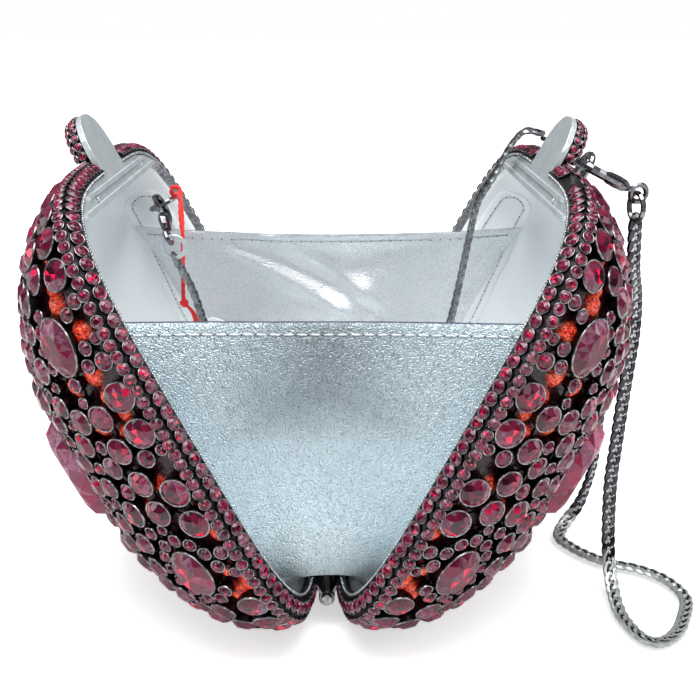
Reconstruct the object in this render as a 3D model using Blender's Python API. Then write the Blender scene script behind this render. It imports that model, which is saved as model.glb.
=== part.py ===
"""Jewelled evening clutch, standing open on the undersides of its two domed shells.

The shells turn on a hinge that runs along Y under the mouth. Each shell is an openwork metal dome set with
faceted stones, with a glitter skin and a leather lining inside it and a flat clasp plate across the top of
its mouth. Two leather gussets and a base strip join the shells inside, and a chain strap is hooked to both.

Every shell piece is built as it stands when the clutch is shut: x is the depth out of the mouth's plane, y
runs along the hinge and z is the height above the hinge pin. It is then turned outwards about the pin.
"""

import math

import bmesh
import bpy
import numpy as np
from mathutils import Vector

# Driving dimensions, in metres
RIM_WIDTH = 0.138
RIM_HEIGHT = 0.130
RIM_BOTTOM = 0.0032
DOME_DEPTH = 0.0460
DOME_SAG = 0.0077
OPEN_ANGLE = math.radians(27.0)

# Roundness of the mouth's outline and of the dome near its crown (2 is an ellipse, more is squarer)
RIM_SQUARENESS = 4.4
CROWN_SQUARENESS = 2.9

# Clearances
SEAT_GAP = 0.0003
MEETING_GAP = 0.0003
CUT_OVERRUN = 0.002
SHARP_ANGLE = math.radians(35.0)

# Jewelled dome, its rings of facets in degrees up from the mouth
CAGE_WALL = 0.0018
CAGE_START = 0.0046
DOME_STEPS = 32
DOME_RINGS = (22, 38, 54, 71)
FRAME_TURN_STEP = math.radians(0.5)
CROWN_STONE_LENGTH = 0.034
CROWN_STONE_WIDTH = 0.024
CROWN_STONE_RISE = 0.0045
SLAB_LENGTH = 0.030
SLAB_WIDTH = 0.017
SLAB_RISE = 0.0048
OVAL_LENGTH = 0.0145
OVAL_WIDTH = 0.0105
OVAL_RISE = 0.0036
LARGE_ROUND = 0.0074
SECOND_ROUND = 0.0068
MEDIUM_ROUND = 0.0062
ROUND_RISE = 0.0029
STONE_SINK = 0.0012
LOWERING_STEPS = 14
CUP_MARGIN = 0.00046
STONE_SPACING = 0.00016
ROW_SPACING = 0.0004
ACCENT_BELT = 0.0042
FIRST_ROW_DEPTH = 0.0088
SECOND_ROW_DEPTH = 0.0160
ROW_BAND = 0.0004
TABLE_SHARE = 0.80
STONE_SIDES = 5
OVAL_SIDES = 10
LARGE_COUNT = 26
MEDIUM_COUNT = 31
STONE_SEED = 7
CANDIDATES = 26000
FITTING_TRIES = 24
PIERCED_COUNT = 12
PIERCED_RADIUS = 0.0017
PIERCED_MARGIN = 0.0005

# Places of the oval stones on a dome: degrees round the mouth from its top, degrees up from the rim
OVAL_PLACES = ((291, 21), (256, 22), (69, 21), (104, 22), (0, 44), (180, 47), (180, 20))

# Places of the two long flat stones beside the crown, in the same way
SLAB_PLACES = ((272, 56), (88, 56))

# Rim frame, stone band, glitter skin and lining
LIP_THICKNESS = 0.0010
LIP_WIDTH = 0.0036
WALL_THICKNESS = 0.0010
WALL_DEPTH = 0.0078
BAND_START = 0.0013
BAND_END = 0.0043
BAND_PROUD = 0.0011
BAND_BEVEL = 0.0008
SKIN_THICKNESS = 0.0005
LINING_START = 0.0028
LINING_INSET = CAGE_WALL + SEAT_GAP + WALL_THICKNESS + SEAT_GAP
LINING_THICKNESS = 0.0012

# Clasp plate, its two closing ridges and its finger tab
PLATE_RECESS = 0.0008
PLATE_THICKNESS = 0.0016
PLATE_HEIGHT = 0.0105
PLATE_FOOT = RIM_BOTTOM + RIM_HEIGHT - PLATE_HEIGHT
RIDGE_WIDTH = 0.0011
RIDGE_PITCH = 0.0032
RIDGE_MARGIN = 0.0004
RIDGE_END_MARGIN = 0.0030
TAB_WIDTH = 0.025
TAB_HEIGHT = 0.0126
TAB_SQUARENESS = 2.3
TAB_STEPS = 14
PAVE_MARGIN = 0.0007
PAVE_THICKNESS = 0.0034
PAVE_CHAMFER = 0.0008
RIVET_RADIUS = 0.0007
RIVET_HEAD = 0.0006
RIVET_PLACE = 0.031

# Hinge
PIN_RADIUS = 0.0009
KNUCKLE_RADIUS = 0.0023
BORE_CLEARANCE = 0.0003
HINGE_LENGTH = 0.072
KNUCKLES = 5
LEAF_THICKNESS = 0.0008
LEAF_HEIGHT = 0.0100
LEAF_START = 0.0002
PIN_HEAD_RADIUS = 0.0016
PIN_HEAD_LENGTH = 0.0008
ROUND_SIDES = 12

# Gussets and base strip
GUSSET_THICKNESS = 0.0010
GUSSET_SEAM_GAP = 0.0014
GUSSET_DEPTH = 0.0175
NEAR_GUSSET_SHARE = 0.617
FAR_GUSSET_SHARE = 0.6508
GUSSET_FOOT = 0.0205
GUSSET_SAG = 0.0070
GUSSET_COLUMNS = 10
GUSSET_ROWS = 4
BASE_THICKNESS = 0.0010
BASE_INSET = 0.033
BASE_WIDTH = RIM_WIDTH - 2 * BASE_INSET
BASE_CREST = 0.0128
BASE_REACH = 0.0140
BASE_DROP = 0.0082
BASE_STEPS = 8

# Strap loops on the shells
LOOP_WIRE = 0.0009
LOOP_REACH = 0.0056
LOOP_SPAN = 0.0080
LOOP_HEAD_SHARE = 0.45
LOOP_STEPS = 8
RIGHT_LOOP_PLACE = 0.032
LOOP_TURN = math.radians(12.0)
LEFT_LOOP_SHARE = 0.8215
LEFT_LOOP_HEIGHT = RIM_BOTTOM + RIM_HEIGHT * LEFT_LOOP_SHARE
LEFT_LOOP_DEPTH = 0.0056

# Lobster clasps and jump rings
SHANK_START = 0.0036
SHANK_LENGTH = 0.0075
SHANK_WIDTH = 0.0066
SHANK_THICKNESS = 0.0034
SHANK_SECTION_SHARES = ((0.0, 0.30, 0.60), (0.16, 0.76, 0.92), (0.5, 1.0, 1.0), (0.84, 0.8, 0.92), (1.0, 0.45, 0.7))
SHANK_SIDES = 8
HOOK_PLACE = 0.0145
HOOK_RADIUS = 0.0042
HOOK_WIRE = 0.0012
HOOK_START = math.radians(-115.0)
HOOK_END = math.radians(70.0)
HOOK_STEPS = 9
LEVER_GAP = math.radians(10.0)
LEVER_START = 0.0103
LEVER_LIFT = 0.0034
LEVER_BOW = 0.0003
LEVER_RADIUS = 0.0008
KNOB_RADIUS = 0.0007
KNOB_REACH = 0.0020
EYE_RADIUS = 0.0022
EYE_WIRE = 0.00075
RING_RADIUS = 0.0036
RING_WIRE = 0.0007
WIRE_SIDES = 6
RING_STEPS = 16
CLASP_SWING = math.radians(15.0)
LEFT_CLASP_DROP = math.radians(33.0)

# Strap chain, and the route of each stretch in metres from the ground
CHAIN_DIAMETER = 0.0040
CHAIN_STEP = 0.0098
CHAIN_END_GAP = 0.0013
ROUTE_PARTS = 24
INNER_ROUTE = (
    (-0.0445, 0.0385, 0.0770),
    (-0.0410, 0.0375, 0.0660),
    (-0.0360, 0.0330, 0.0530),
    (-0.0290, 0.0250, 0.0410),
    (-0.0200, 0.0140, 0.0310),
    (-0.0090, 0.0030, 0.0255),
    (0.0030, -0.0040, 0.0245),
    (0.0140, -0.0020, 0.0280),
    (0.0220, 0.0080, 0.0350),
    (0.0290, 0.0200, 0.0420),
    (0.0340, 0.0300, 0.0510),
    (0.0385, 0.0360, 0.0605),
    (0.0415, 0.0385, 0.0715),
    (0.0435, 0.0385, 0.0825),
    (0.0453, 0.0370, 0.0945),
    (0.0473, 0.0345, 0.1066),
    (0.0515, 0.0300, 0.1160),
    (0.0553, 0.0262, 0.1252),
    (0.0592, 0.0243, 0.1300),
    (0.0636, 0.0232, 0.1296),
)
OUTER_ROUTE = (
    (0.06536, 0.02300, 0.12773),
    (0.0712, 0.0230, 0.12545),
    (0.0760, 0.0240, 0.1196),
    (0.0811, 0.0255, 0.1079),
    (0.0854, 0.0260, 0.0927),
    (0.0883, 0.0255, 0.0733),
    (0.0893, 0.0240, 0.0540),
    (0.0880, 0.0220, 0.0360),
    (0.0865, 0.0200, 0.0220),
    (0.0830, 0.0190, 0.0100),
    (0.0780, 0.0165, 0.0036),
    (0.0748, 0.0100, 0.0020),
    (0.0776, 0.0025, 0.0020),
    (0.0828, -0.0038, 0.0020),
    (0.0890, -0.0080, 0.0020),
    (0.0945, -0.0105, 0.0020),
    (0.1003, -0.0157, 0.0020),
    (0.1033, -0.0225, 0.0020),
    (0.1036, -0.0290, 0.0020),
    (0.1004, -0.0372, 0.0020),
    (0.0960, -0.0450, 0.0020),
    (0.0905, -0.0495, 0.0020),
    (0.0861, -0.0480, 0.0020),
    (0.0837, -0.0415, 0.0020),
    (0.0828, -0.0325, 0.0023),
    (0.0832, -0.0220, 0.0060),
    (0.0830, -0.0170, 0.0150),
    (0.0828, -0.0150, 0.0320),
    (0.0835, -0.0150, 0.0460),
    (0.0845, -0.0150, 0.0620),
    (0.0855, -0.0155, 0.0780),
    (0.0842, -0.0190, 0.0900),
    (0.0805, -0.0270, 0.1010),
)


# Swing tag on its string
STRING_DIAMETER = 0.0015
STRING_STEP = 0.0040
STRING_ROUTE = (
    (-0.05098, 0.05010, 0.10522),
    (-0.04990, 0.04890, 0.10660),
    (-0.0486, 0.0470, 0.1058),
    (-0.0478, 0.0450, 0.1020),
    (-0.0475, 0.0428, 0.0950),
    (-0.0477, 0.0420, 0.0830),
    (-0.0480, 0.0420, 0.0715),
    (-0.0476, 0.0420, 0.0680),
)
CARD_WIDTH = 0.020
CARD_LENGTH = 0.032
CARD_THICKNESS = 0.0005
CARD_CORNER = 0.004
CARD_LEAN = math.radians(24.0)


def named_material(name, colour, roughness, metallic):
    """A plain Principled material."""
    material = bpy.data.materials.new(name)
    material.use_nodes = True
    shader = material.node_tree.nodes["Principled BSDF"]
    shader.inputs["Base Color"].default_value = (*colour, 1.0)
    shader.inputs["Roughness"].default_value = roughness
    shader.inputs["Metallic"].default_value = metallic
    return material


MATERIALS = {
    "crystal": ((0.30, 0.012, 0.035), 0.12, 0.2),
    "gunmetal": ((0.16, 0.16, 0.17), 0.28, 0.9),
    "nickel": ((0.62, 0.64, 0.63), 0.30, 0.9),
    "glitter": ((0.75, 0.07, 0.03), 0.45, 0.3),
    "leather": ((0.70, 0.75, 0.77), 0.42, 0.35),
    "card": ((0.90, 0.90, 0.88), 0.8, 0.0),
    "thread": ((0.85, 0.05, 0.04), 0.7, 0.0),
}


def clear_scene():
    """Empties the file."""
    for item in list(bpy.data.objects):
        bpy.data.objects.remove(item, do_unlink=True)


def add_object(name, mesh, material, parent=None):
    """Links a mesh under its node's name, shaded smooth between its sharp edges."""
    mesh.materials.clear()
    mesh.materials.append(material)
    mesh.shade_smooth()
    mesh.set_sharp_from_angle(angle=SHARP_ANGLE)
    item = bpy.data.objects.new(name, mesh)
    bpy.context.scene.collection.objects.link(item)
    item.parent = parent
    return item


def mesh_from(name, points, faces):
    """A mesh with its faces turned outwards."""
    shape = bmesh.new()
    corners = [shape.verts.new(point) for point in points]
    for face in faces:
        shape.faces.new([corners[i] for i in face])
    bmesh.ops.recalc_face_normals(shape, faces=shape.faces)
    mesh = bpy.data.meshes.new(name)
    shape.to_mesh(mesh)
    shape.free()
    return mesh


def join_meshes(name, meshes):
    """Several closed meshes in one."""
    shape = bmesh.new()
    for mesh in meshes:
        shape.from_mesh(mesh)
    joined = bpy.data.meshes.new(name)
    shape.to_mesh(joined)
    shape.free()
    return joined


def combine(base, tool, operation):
    """The exact Boolean of two meshes, as a new mesh."""
    target = bpy.data.objects.new("target", base)
    cutter = bpy.data.objects.new("cutter", tool)
    for item in (target, cutter):
        bpy.context.scene.collection.objects.link(item)
    change = target.modifiers.new("cut", "BOOLEAN")
    change.operation = operation
    change.object = cutter
    change.solver = "EXACT"
    bpy.context.view_layer.update()
    result = bpy.data.meshes.new_from_object(target.evaluated_get(bpy.context.evaluated_depsgraph_get()))
    bpy.data.objects.remove(target, do_unlink=True)
    bpy.data.objects.remove(cutter, do_unlink=True)
    return result


def loops_to_mesh(name, loops, closed):
    """Skins a list of equal loops: round onto the first one, or with both ends filled."""
    count = len(loops[0])
    points = [point for loop in loops for point in loop]
    spans = len(loops) if closed else len(loops) - 1
    faces = []
    for i in range(spans):
        a, b = i * count, (i + 1) % len(loops) * count
        for j in range(count):
            k = (j + 1) % count
            faces.append((a + j, a + k, b + k, b + j))
    if not closed:
        faces.append(tuple(range(count)))
        faces.append(tuple(range((len(loops) - 1) * count, len(loops) * count)))
    return mesh_from(name, points, faces)


def box_mesh(name, low, high):
    """A box between two corners."""
    (x0, y0, z0), (x1, y1, z1) = low, high
    loops = []
    for x in (x0, x1):
        loops.append([Vector((x, y0, z0)), Vector((x, y1, z0)), Vector((x, y1, z1)), Vector((x, y0, z1))])
    return loops_to_mesh(name, loops, closed=False)


def turned_loop(centre, across, up, radius, sides):
    """Points round a circle in the plane of two unit vectors."""
    loop = []
    for i in range(sides):
        turn = 2.0 * math.pi * i / sides
        loop.append(centre + across * (radius * math.cos(turn)) + up * (radius * math.sin(turn)))
    return loop


def rod_mesh(name, start, end, radius, sides=ROUND_SIDES):
    """A round bar between two points."""
    axis = (end - start).normalized()
    across = axis.orthogonal().normalized()
    up = axis.cross(across)
    loops = [turned_loop(point, across, up, radius, sides) for point in (start, end)]
    return loops_to_mesh(name, loops, closed=False)


def ring_mesh(name, centre, across, up, radius, wire):
    """A closed wire ring in the plane of two unit vectors."""
    normal = across.cross(up)
    loops = []
    for i in range(RING_STEPS):
        turn = 2.0 * math.pi * i / RING_STEPS
        out = across * math.cos(turn) + up * math.sin(turn)
        loops.append(turned_loop(centre + out * radius, out, normal, wire, WIRE_SIDES))
    return loops_to_mesh(name, loops, closed=True)


def smooth_route(points, step):
    """A route re-read from a smooth curve through its own points, about one step apart."""
    ends = [points[0] * 2 - points[1]] + list(points) + [points[-1] * 2 - points[-2]]
    fine = []
    for i in range(len(points) - 1):
        p0, p1, p2, p3 = ends[i : i + 4]
        for j in range(ROUTE_PARTS):
            t = j / ROUTE_PARTS
            fine.append(
                p1
                + (p2 - p0) * (t / 2)
                + (p0 * 2 - p1 * 5 + p2 * 4 - p3) * (t * t / 2)
                + (p1 * 3 - p0 - p2 * 3 + p3) * (t * t * t / 2)
            )
    fine.append(points[-1])
    along = [0.0]
    for a, b in zip(fine, fine[1:]):
        along.append(along[-1] + (b - a).length)
    count = max(2, round(along[-1] / step))
    route = []
    j = 0
    for i in range(count + 1):
        want = along[-1] * i / count
        while j < len(fine) - 2 and along[j + 1] < want:
            j += 1
        span = along[j + 1] - along[j]
        share = (want - along[j]) / span if span else 0.0
        route.append(fine[j].lerp(fine[j + 1], min(1.0, max(0.0, share))))
    return route


def tube_object(name, points, radius, material, resolution=2, parent=None):
    """A filled round tube along points, as a bevelled curve."""
    curve = bpy.data.curves.new(name, "CURVE")
    curve.dimensions = "3D"
    curve.bevel_depth = radius
    curve.bevel_resolution = resolution
    curve.use_fill_caps = True
    spline = curve.splines.new("POLY")
    spline.points.add(len(points) - 1)
    for spot, point in zip(spline.points, points):
        spot.co = (*point, 1.0)
    curve.materials.append(material)
    item = bpy.data.objects.new(name, curve)
    bpy.context.scene.collection.objects.link(item)
    item.parent = parent
    return item


def tube_mesh(name, points, radius, resolution=2):
    """The same tube as a closed mesh."""
    item = tube_object(name, points, radius, None, resolution)
    bpy.context.view_layer.update()
    mesh = bpy.data.meshes.new_from_object(item.evaluated_get(bpy.context.evaluated_depsgraph_get()))
    bpy.data.objects.remove(item, do_unlink=True)
    shape = bmesh.new()
    shape.from_mesh(mesh)
    bmesh.ops.remove_doubles(shape, verts=shape.verts, dist=STONE_SINK / 1000)
    bmesh.ops.recalc_face_normals(shape, faces=shape.faces)
    shape.to_mesh(mesh)
    shape.free()
    return mesh


def squared(share, squareness):
    """One coordinate of a superellipse, from the cosine or sine of its angle."""
    return math.copysign(abs(share) ** (2.0 / squareness), share)


class Dome:
    """The shape that a shell's layers follow, each at its own inset from the dome's metal face."""

    def __init__(self, side):
        self.side = side
        self.centre = RIM_BOTTOM + RIM_HEIGHT / 2

    def place(self, y, height, depth):
        """A point of the shut shell from its place along the hinge, above it and out of the mouth."""
        return Vector((self.side * (MEETING_GAP / 2 + depth), y, height))

    def point(self, around, rise, inset=0.0):
        """The point at an angle round the mouth and an angle up the dome, both in radians."""
        squareness = RIM_SQUARENESS + (CROWN_SQUARENESS - RIM_SQUARENESS) * math.sin(rise)
        spread = math.cos(rise)
        y = (RIM_WIDTH / 2 - inset) * spread * squared(math.sin(around), squareness)
        high = (RIM_HEIGHT / 2 - inset) * spread * squared(math.cos(around), squareness)
        depth = (DOME_DEPTH - inset) * math.sin(rise)
        return self.place(y, self.centre + high - DOME_SAG * math.sin(rise), depth)

    def half_width(self, height, depth, inset=0.0):
        """Half of a layer's width along the hinge at a height and a depth."""
        rise = self.rise_at(depth, inset)
        squareness = RIM_SQUARENESS + (CROWN_SQUARENESS - RIM_SQUARENESS) * math.sin(rise)
        high = abs(height - self.centre + DOME_SAG * math.sin(rise))
        share = high / ((RIM_HEIGHT / 2 - inset) * math.cos(rise))
        return (RIM_WIDTH / 2 - inset) * math.cos(rise) * (1.0 - share**squareness) ** (1.0 / squareness)

    def rise_at(self, depth, inset=0.0):
        """How far up the dome a depth lies, as an angle."""
        return math.asin(depth / (DOME_DEPTH - inset))

    def loop(self, depth, inset):
        """The points of the dome's outline at one depth."""
        rise = self.rise_at(depth, inset)
        return [self.point(2 * math.pi * i / DOME_STEPS, rise, inset) for i in range(DOME_STEPS)]

    def frame(self, around, rise):
        """A point of the metal face with its outward normal and two directions along the face."""
        turn = FRAME_TURN_STEP
        here = self.point(around, rise)
        along = (self.point(around + turn, rise) - self.point(around - turn, rise)).normalized()
        over = self.point(around, rise + turn) - self.point(around, rise - turn)
        normal = along.cross(over).normalized()
        if normal.dot(here - self.place(0.0, self.centre, 0.0)) < 0:
            normal = -normal
        return here, normal, along, normal.cross(along)

    def holds(self, point):
        """Whether a point lies under the dome's metal face."""
        depth = (abs(point.x) - MEETING_GAP / 2) / DOME_DEPTH
        if depth >= 1.0:
            return False
        spread = math.sqrt(1.0 - depth * depth)
        squareness = RIM_SQUARENESS + (CROWN_SQUARENESS - RIM_SQUARENESS) * depth
        y = abs(point.y) / (RIM_WIDTH / 2 * spread)
        high = abs(point.z - self.centre + DOME_SAG * depth) / (RIM_HEIGHT / 2 * spread)
        return y**squareness + high**squareness < 1.0

    def lowered(self, point, normal, reach):
        """A point moved against a normal until it meets the metal face, at most by a reach."""
        low, high = 0.0, reach
        for _ in range(LOWERING_STEPS):
            middle = (low + high) / 2
            if self.holds(point - normal * middle):
                high = middle
            else:
                low = middle
        return point - normal * high

    def ring(self, name, section):
        """A closed ring round the mouth, from the depth and inset of each corner of its section."""
        loops = [self.loop(depth, inset) for depth, inset in section]
        return loops_to_mesh(name, loops, closed=True)

    def shell(self, name, start, inset, wall):
        """A closed dome of one thickness, open at the mouth."""
        points, faces = [], []
        poles = []
        for layer in (inset, inset + wall):
            rises = [self.rise_at(depth, layer) for depth in sorted({start, max(start, WALL_DEPTH)})]
            rises += [math.radians(degrees) for degrees in DOME_RINGS]
            for rise in rises:
                for i in range(DOME_STEPS):
                    points.append(self.point(2 * math.pi * i / DOME_STEPS, rise, layer))
            poles.append(len(points))
            points.append(self.point(0.0, math.pi / 2, layer))
        inner = poles[0] + 1
        for base, pole in ((0, poles[0]), (inner, poles[1])):
            for ring in range(len(rises) - 1):
                for i in range(DOME_STEPS):
                    a = base + ring * DOME_STEPS
                    j = (i + 1) % DOME_STEPS
                    faces.append((a + i, a + j, a + DOME_STEPS + j, a + DOME_STEPS + i))
            last = base + (len(rises) - 1) * DOME_STEPS
            for i in range(DOME_STEPS):
                faces.append((last + i, last + (i + 1) % DOME_STEPS, pole))
        for i in range(DOME_STEPS):
            j = (i + 1) % DOME_STEPS
            faces.append((i, j, inner + j, inner + i))
        return mesh_from(name, points, faces)


def ground_points(around, rise):
    """Places on a shut dome's metal face, one for each pair of angles round the mouth and up the dome."""
    power = 2.0 / (RIM_SQUARENESS + (CROWN_SQUARENESS - RIM_SQUARENESS) * np.sin(rise))
    spread = np.cos(rise)
    sine, cosine = np.sin(around), np.cos(around)
    y = RIM_WIDTH / 2 * spread * np.sign(sine) * np.abs(sine) ** power
    high = RIM_HEIGHT / 2 * spread * np.sign(cosine) * np.abs(cosine) ** power
    height = RIM_BOTTOM + RIM_HEIGHT / 2 + high - DOME_SAG * np.sin(rise)
    return np.stack([DOME_DEPTH * np.sin(rise), y, height], axis=-1)


def stone_layout():
    """Sets the main stones: the crown, the slabs and ovals, two rows along the rim, then rounds between them.

    Each stone is its angles on the dome, its length and width and its rise. The holes are the widest gaps.
    """
    stones = [(0.0, math.pi / 2 - FRAME_TURN_STEP, CROWN_STONE_LENGTH, CROWN_STONE_WIDTH, CROWN_STONE_RISE)]
    for around, rise in SLAB_PLACES:
        stones.append((math.radians(around), math.radians(rise), SLAB_LENGTH, SLAB_WIDTH, SLAB_RISE))
    for around, rise in OVAL_PLACES:
        stones.append((math.radians(around), math.radians(rise), OVAL_LENGTH, OVAL_WIDTH, OVAL_RISE))
    index = np.arange(CANDIDATES)
    rises = np.arcsin((index + 0.5) / CANDIDATES)
    arounds = (index * (math.pi * (3.0 - math.sqrt(5.0)))) % (2 * math.pi)
    ground = ground_points(arounds, rises)
    depth = ground[:, 0]
    free = np.full(CANDIDATES, np.inf)

    def cover(spot, reach):
        """Notes the ground within a reach of a spot as taken."""
        np.minimum(free, np.linalg.norm(ground - spot, axis=1) - reach, out=free)

    for around, rise, length, width, _ in stones:
        before = ground_points(np.array(around - FRAME_TURN_STEP), np.array(rise))
        after = ground_points(np.array(around + FRAME_TURN_STEP), np.array(rise))
        along = (after - before) / np.linalg.norm(after - before)
        here = ground_points(np.array(around), np.array(rise))
        for share in (-1.0, 0.0, 1.0):
            cover(here + along * (share * (length - width) / 2), width / 2 + CUP_MARGIN + ACCENT_BELT)

    def set_round(pick, size):
        """Sets a round stone on a candidate."""
        stones.append((float(arounds[pick]), float(rises[pick]), size, size, ROUND_RISE))
        cover(ground[pick], size / 2 + CUP_MARGIN)

    for size, level in ((LARGE_ROUND, FIRST_ROW_DEPTH), (SECOND_ROUND, SECOND_ROW_DEPTH)):
        band = np.abs(depth - level) < ROW_BAND
        while True:
            allowed = np.flatnonzero(band & (free > size / 2 + CUP_MARGIN + ROW_SPACING))
            if not len(allowed):
                break
            set_round(int(allowed[np.argmin(arounds[allowed])]), size)
    chance = np.random.default_rng(STONE_SEED)
    for size, count in ((LARGE_ROUND, LARGE_COUNT), (MEDIUM_ROUND, MEDIUM_COUNT)):
        for _ in range(count):
            allowed = (free > size / 2 + CUP_MARGIN + STONE_SPACING) & (depth > SECOND_ROW_DEPTH)
            allowed = np.flatnonzero(allowed)
            if not len(allowed):
                break
            tries = allowed[chance.integers(0, len(allowed), FITTING_TRIES)]
            set_round(int(tries[np.argmin(free[tries])]), size)
    holes = []
    for _ in range(PIERCED_COUNT):
        room = np.where(depth > CAGE_START + PIERCED_RADIUS + PIERCED_MARGIN, free, 0.0)
        pick = int(np.argmax(room))
        if room[pick] < PIERCED_RADIUS + PIERCED_MARGIN:
            break
        holes.append((float(arounds[pick]), float(rises[pick])))
        free = np.minimum(free, np.linalg.norm(ground - ground[pick], axis=1) - PIERCED_RADIUS)
    return stones, holes


def stone_mesh(dome, around, rise, length, width, height):
    """A cut stone in its cup, its foot sunk in the dome's wall."""
    here, normal, along, over = dome.frame(around, rise)
    sides = STONE_SIDES if length == width else OVAL_SIDES
    loops = []
    for share, lift in ((1.0, 0.0), (TABLE_SHARE, height)):
        loop = []
        for i in range(sides):
            turn = 2 * math.pi * (i + 0.5) / sides
            offset = along * (length / 2 * math.cos(turn)) + over * (width / 2 * math.sin(turn))
            point = here + offset * share + normal * lift
            if lift == 0.0:
                point = dome.lowered(point, normal, length / 2) - normal * STONE_SINK
            loop.append(point)
        loops.append(loop)
    return loops_to_mesh("stone", loops, closed=False)


def jewelled_cage(dome):
    """The openwork dome with its stones fused on and its gaps pierced."""
    stones, holes = stone_layout()
    mesh = dome.shell("cage", CAGE_START, 0.0, CAGE_WALL)
    set_stones = join_meshes("stones", [stone_mesh(dome, *stone) for stone in stones])
    mesh = combine(mesh, set_stones, "UNION")
    cutters = []
    for around, rise in holes:
        here, normal, along, over = dome.frame(around, rise)
        start = here - normal * (CAGE_WALL + CUT_OVERRUN)
        cutters.append(rod_mesh("hole", start, here + normal * CUT_OVERRUN, PIERCED_RADIUS, STONE_SIDES))
    return combine(mesh, join_meshes("holes", cutters), "DIFFERENCE")


def tab_cutter(dome):
    """The notch that the finger tab passes through in the lip and the stone band."""
    half = TAB_WIDTH / 2 + SEAT_GAP
    low = dome.centre + RIM_HEIGHT / 4
    high = dome.centre + RIM_HEIGHT / 2 + CUT_OVERRUN
    deep = PLATE_RECESS + PLATE_THICKNESS + SEAT_GAP
    corners = (dome.place(-half, low, -CUT_OVERRUN), dome.place(half, high, deep))
    return box_mesh("tab_notch", *corners)


def rim_frame(dome):
    """The metal frame round the mouth: a flat lip with a wall behind it that carries the dome."""
    wall_out = CAGE_WALL + SEAT_GAP
    wall_in = wall_out + WALL_THICKNESS
    section = (
        (0.0, 0.0),
        (LIP_THICKNESS, 0.0),
        (LIP_THICKNESS, wall_out),
        (WALL_DEPTH / 2, wall_out),
        (WALL_DEPTH, wall_out),
        (WALL_DEPTH, wall_in),
        (WALL_DEPTH / 2, wall_in),
        (LIP_THICKNESS, wall_in),
        (LIP_THICKNESS, LIP_WIDTH),
        (0.0, LIP_WIDTH),
    )
    mesh = combine(dome.ring("frame", section), tab_cutter(dome), "DIFFERENCE")
    half = HINGE_LENGTH / 2 + SEAT_GAP
    deep = LEAF_START + LEAF_THICKNESS + SEAT_GAP
    corners = (
        dome.place(-half, -CUT_OVERRUN, -CUT_OVERRUN),
        dome.place(half, LEAF_HEIGHT + SEAT_GAP, deep),
    )
    return combine(mesh, box_mesh("leaf_notch", *corners), "DIFFERENCE")


def stone_band(dome):
    """The band that carries the single row of small stones round the mouth."""
    wall_out = LIP_WIDTH / 2
    section = (
        (BAND_START, wall_out),
        (BAND_START, -BAND_PROUD + BAND_BEVEL),
        (BAND_START + BAND_BEVEL, -BAND_PROUD),
        (BAND_END - BAND_BEVEL, -BAND_PROUD),
        (BAND_END, -BAND_PROUD + BAND_BEVEL),
        (BAND_END, wall_out),
    )
    return combine(dome.ring("band", section), tab_cutter(dome), "DIFFERENCE")


def plate_outline(dome, inset):
    """The clasp plate's outline: the mouth's outline at an inset, cut off level at the plate's foot."""
    loop = [(point.y, point.z) for point in dome.loop(0.0, inset)]
    outline = []
    for (y0, z0), (y1, z1) in zip(loop, loop[1:] + loop[:1]):
        if z0 > PLATE_FOOT:
            outline.append((y0, z0))
        if (z0 > PLATE_FOOT) != (z1 > PLATE_FOOT):
            share = (PLATE_FOOT - z0) / (z1 - z0)
            outline.append((y0 + (y1 - y0) * share, PLATE_FOOT))
    return outline


def extruded(dome, outline, start, end):
    """A flat outline of the mouth's plane made solid between two depths."""
    loops = [[dome.place(y, z, depth) for y, z in outline] for depth in (start, end)]
    return loops_to_mesh("extruded", loops, closed=False)


def tab_outline(margin, foot):
    """The finger tab's rounded outline above a foot, its sides running down to that foot."""
    half = TAB_WIDTH / 2 - margin
    base = RIM_BOTTOM + RIM_HEIGHT
    outline = []
    for i in range(TAB_STEPS + 1):
        turn = math.pi * (1.0 - i / TAB_STEPS)
        y = half * squared(math.cos(turn), TAB_SQUARENESS)
        z = base + (TAB_HEIGHT - margin) * squared(math.sin(turn), TAB_SQUARENESS)
        outline.append((y, z))
    if foot < base:
        outline = [(-half, foot)] + outline + [(half, foot)]
    return outline


def clasp_plate(dome):
    """The flat plate across the top of the mouth, with its tab and two ridges that meet the other plate."""
    back = PLATE_RECESS + PLATE_THICKNESS
    mesh = extruded(dome, plate_outline(dome, LIP_WIDTH + SEAT_GAP), PLATE_RECESS, back)
    tab = tab_outline(0.0, PLATE_FOOT + RIDGE_MARGIN)
    mesh = combine(mesh, extruded(dome, tab, PLATE_RECESS, back), "UNION")
    for i in range(2):
        low = PLATE_FOOT + RIDGE_MARGIN + i * RIDGE_PITCH
        ends = dome.half_width(low + RIDGE_WIDTH, 0.0, LIP_WIDTH + SEAT_GAP) - RIDGE_END_MARGIN
        corners = (
            dome.place(-ends, low, SEAT_GAP / 2),
            dome.place(ends, low + RIDGE_WIDTH, PLATE_RECESS + PLATE_THICKNESS / 2),
        )
        mesh = combine(mesh, box_mesh("ridge", *corners), "UNION")
    holes = [rivet_rod(dome, end, BORE_CLEARANCE, CUT_OVERRUN) for end in (-1, 1)]
    return combine(mesh, join_meshes("rivet_holes", holes), "DIFFERENCE")


def rivet_rod(dome, end, grow, overrun):
    """The shank of a rivet through one end of the clasp plate."""
    y = end * RIVET_PLACE
    z = PLATE_FOOT + RIDGE_MARGIN + (RIDGE_PITCH + RIDGE_WIDTH) / 2
    start = dome.place(y, z, PLATE_RECESS - overrun)
    stop = dome.place(y, z, PLATE_RECESS + PLATE_THICKNESS + overrun)
    return rod_mesh("rivet", start, stop, RIVET_RADIUS / 2 + grow, ROUND_SIDES)


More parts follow.
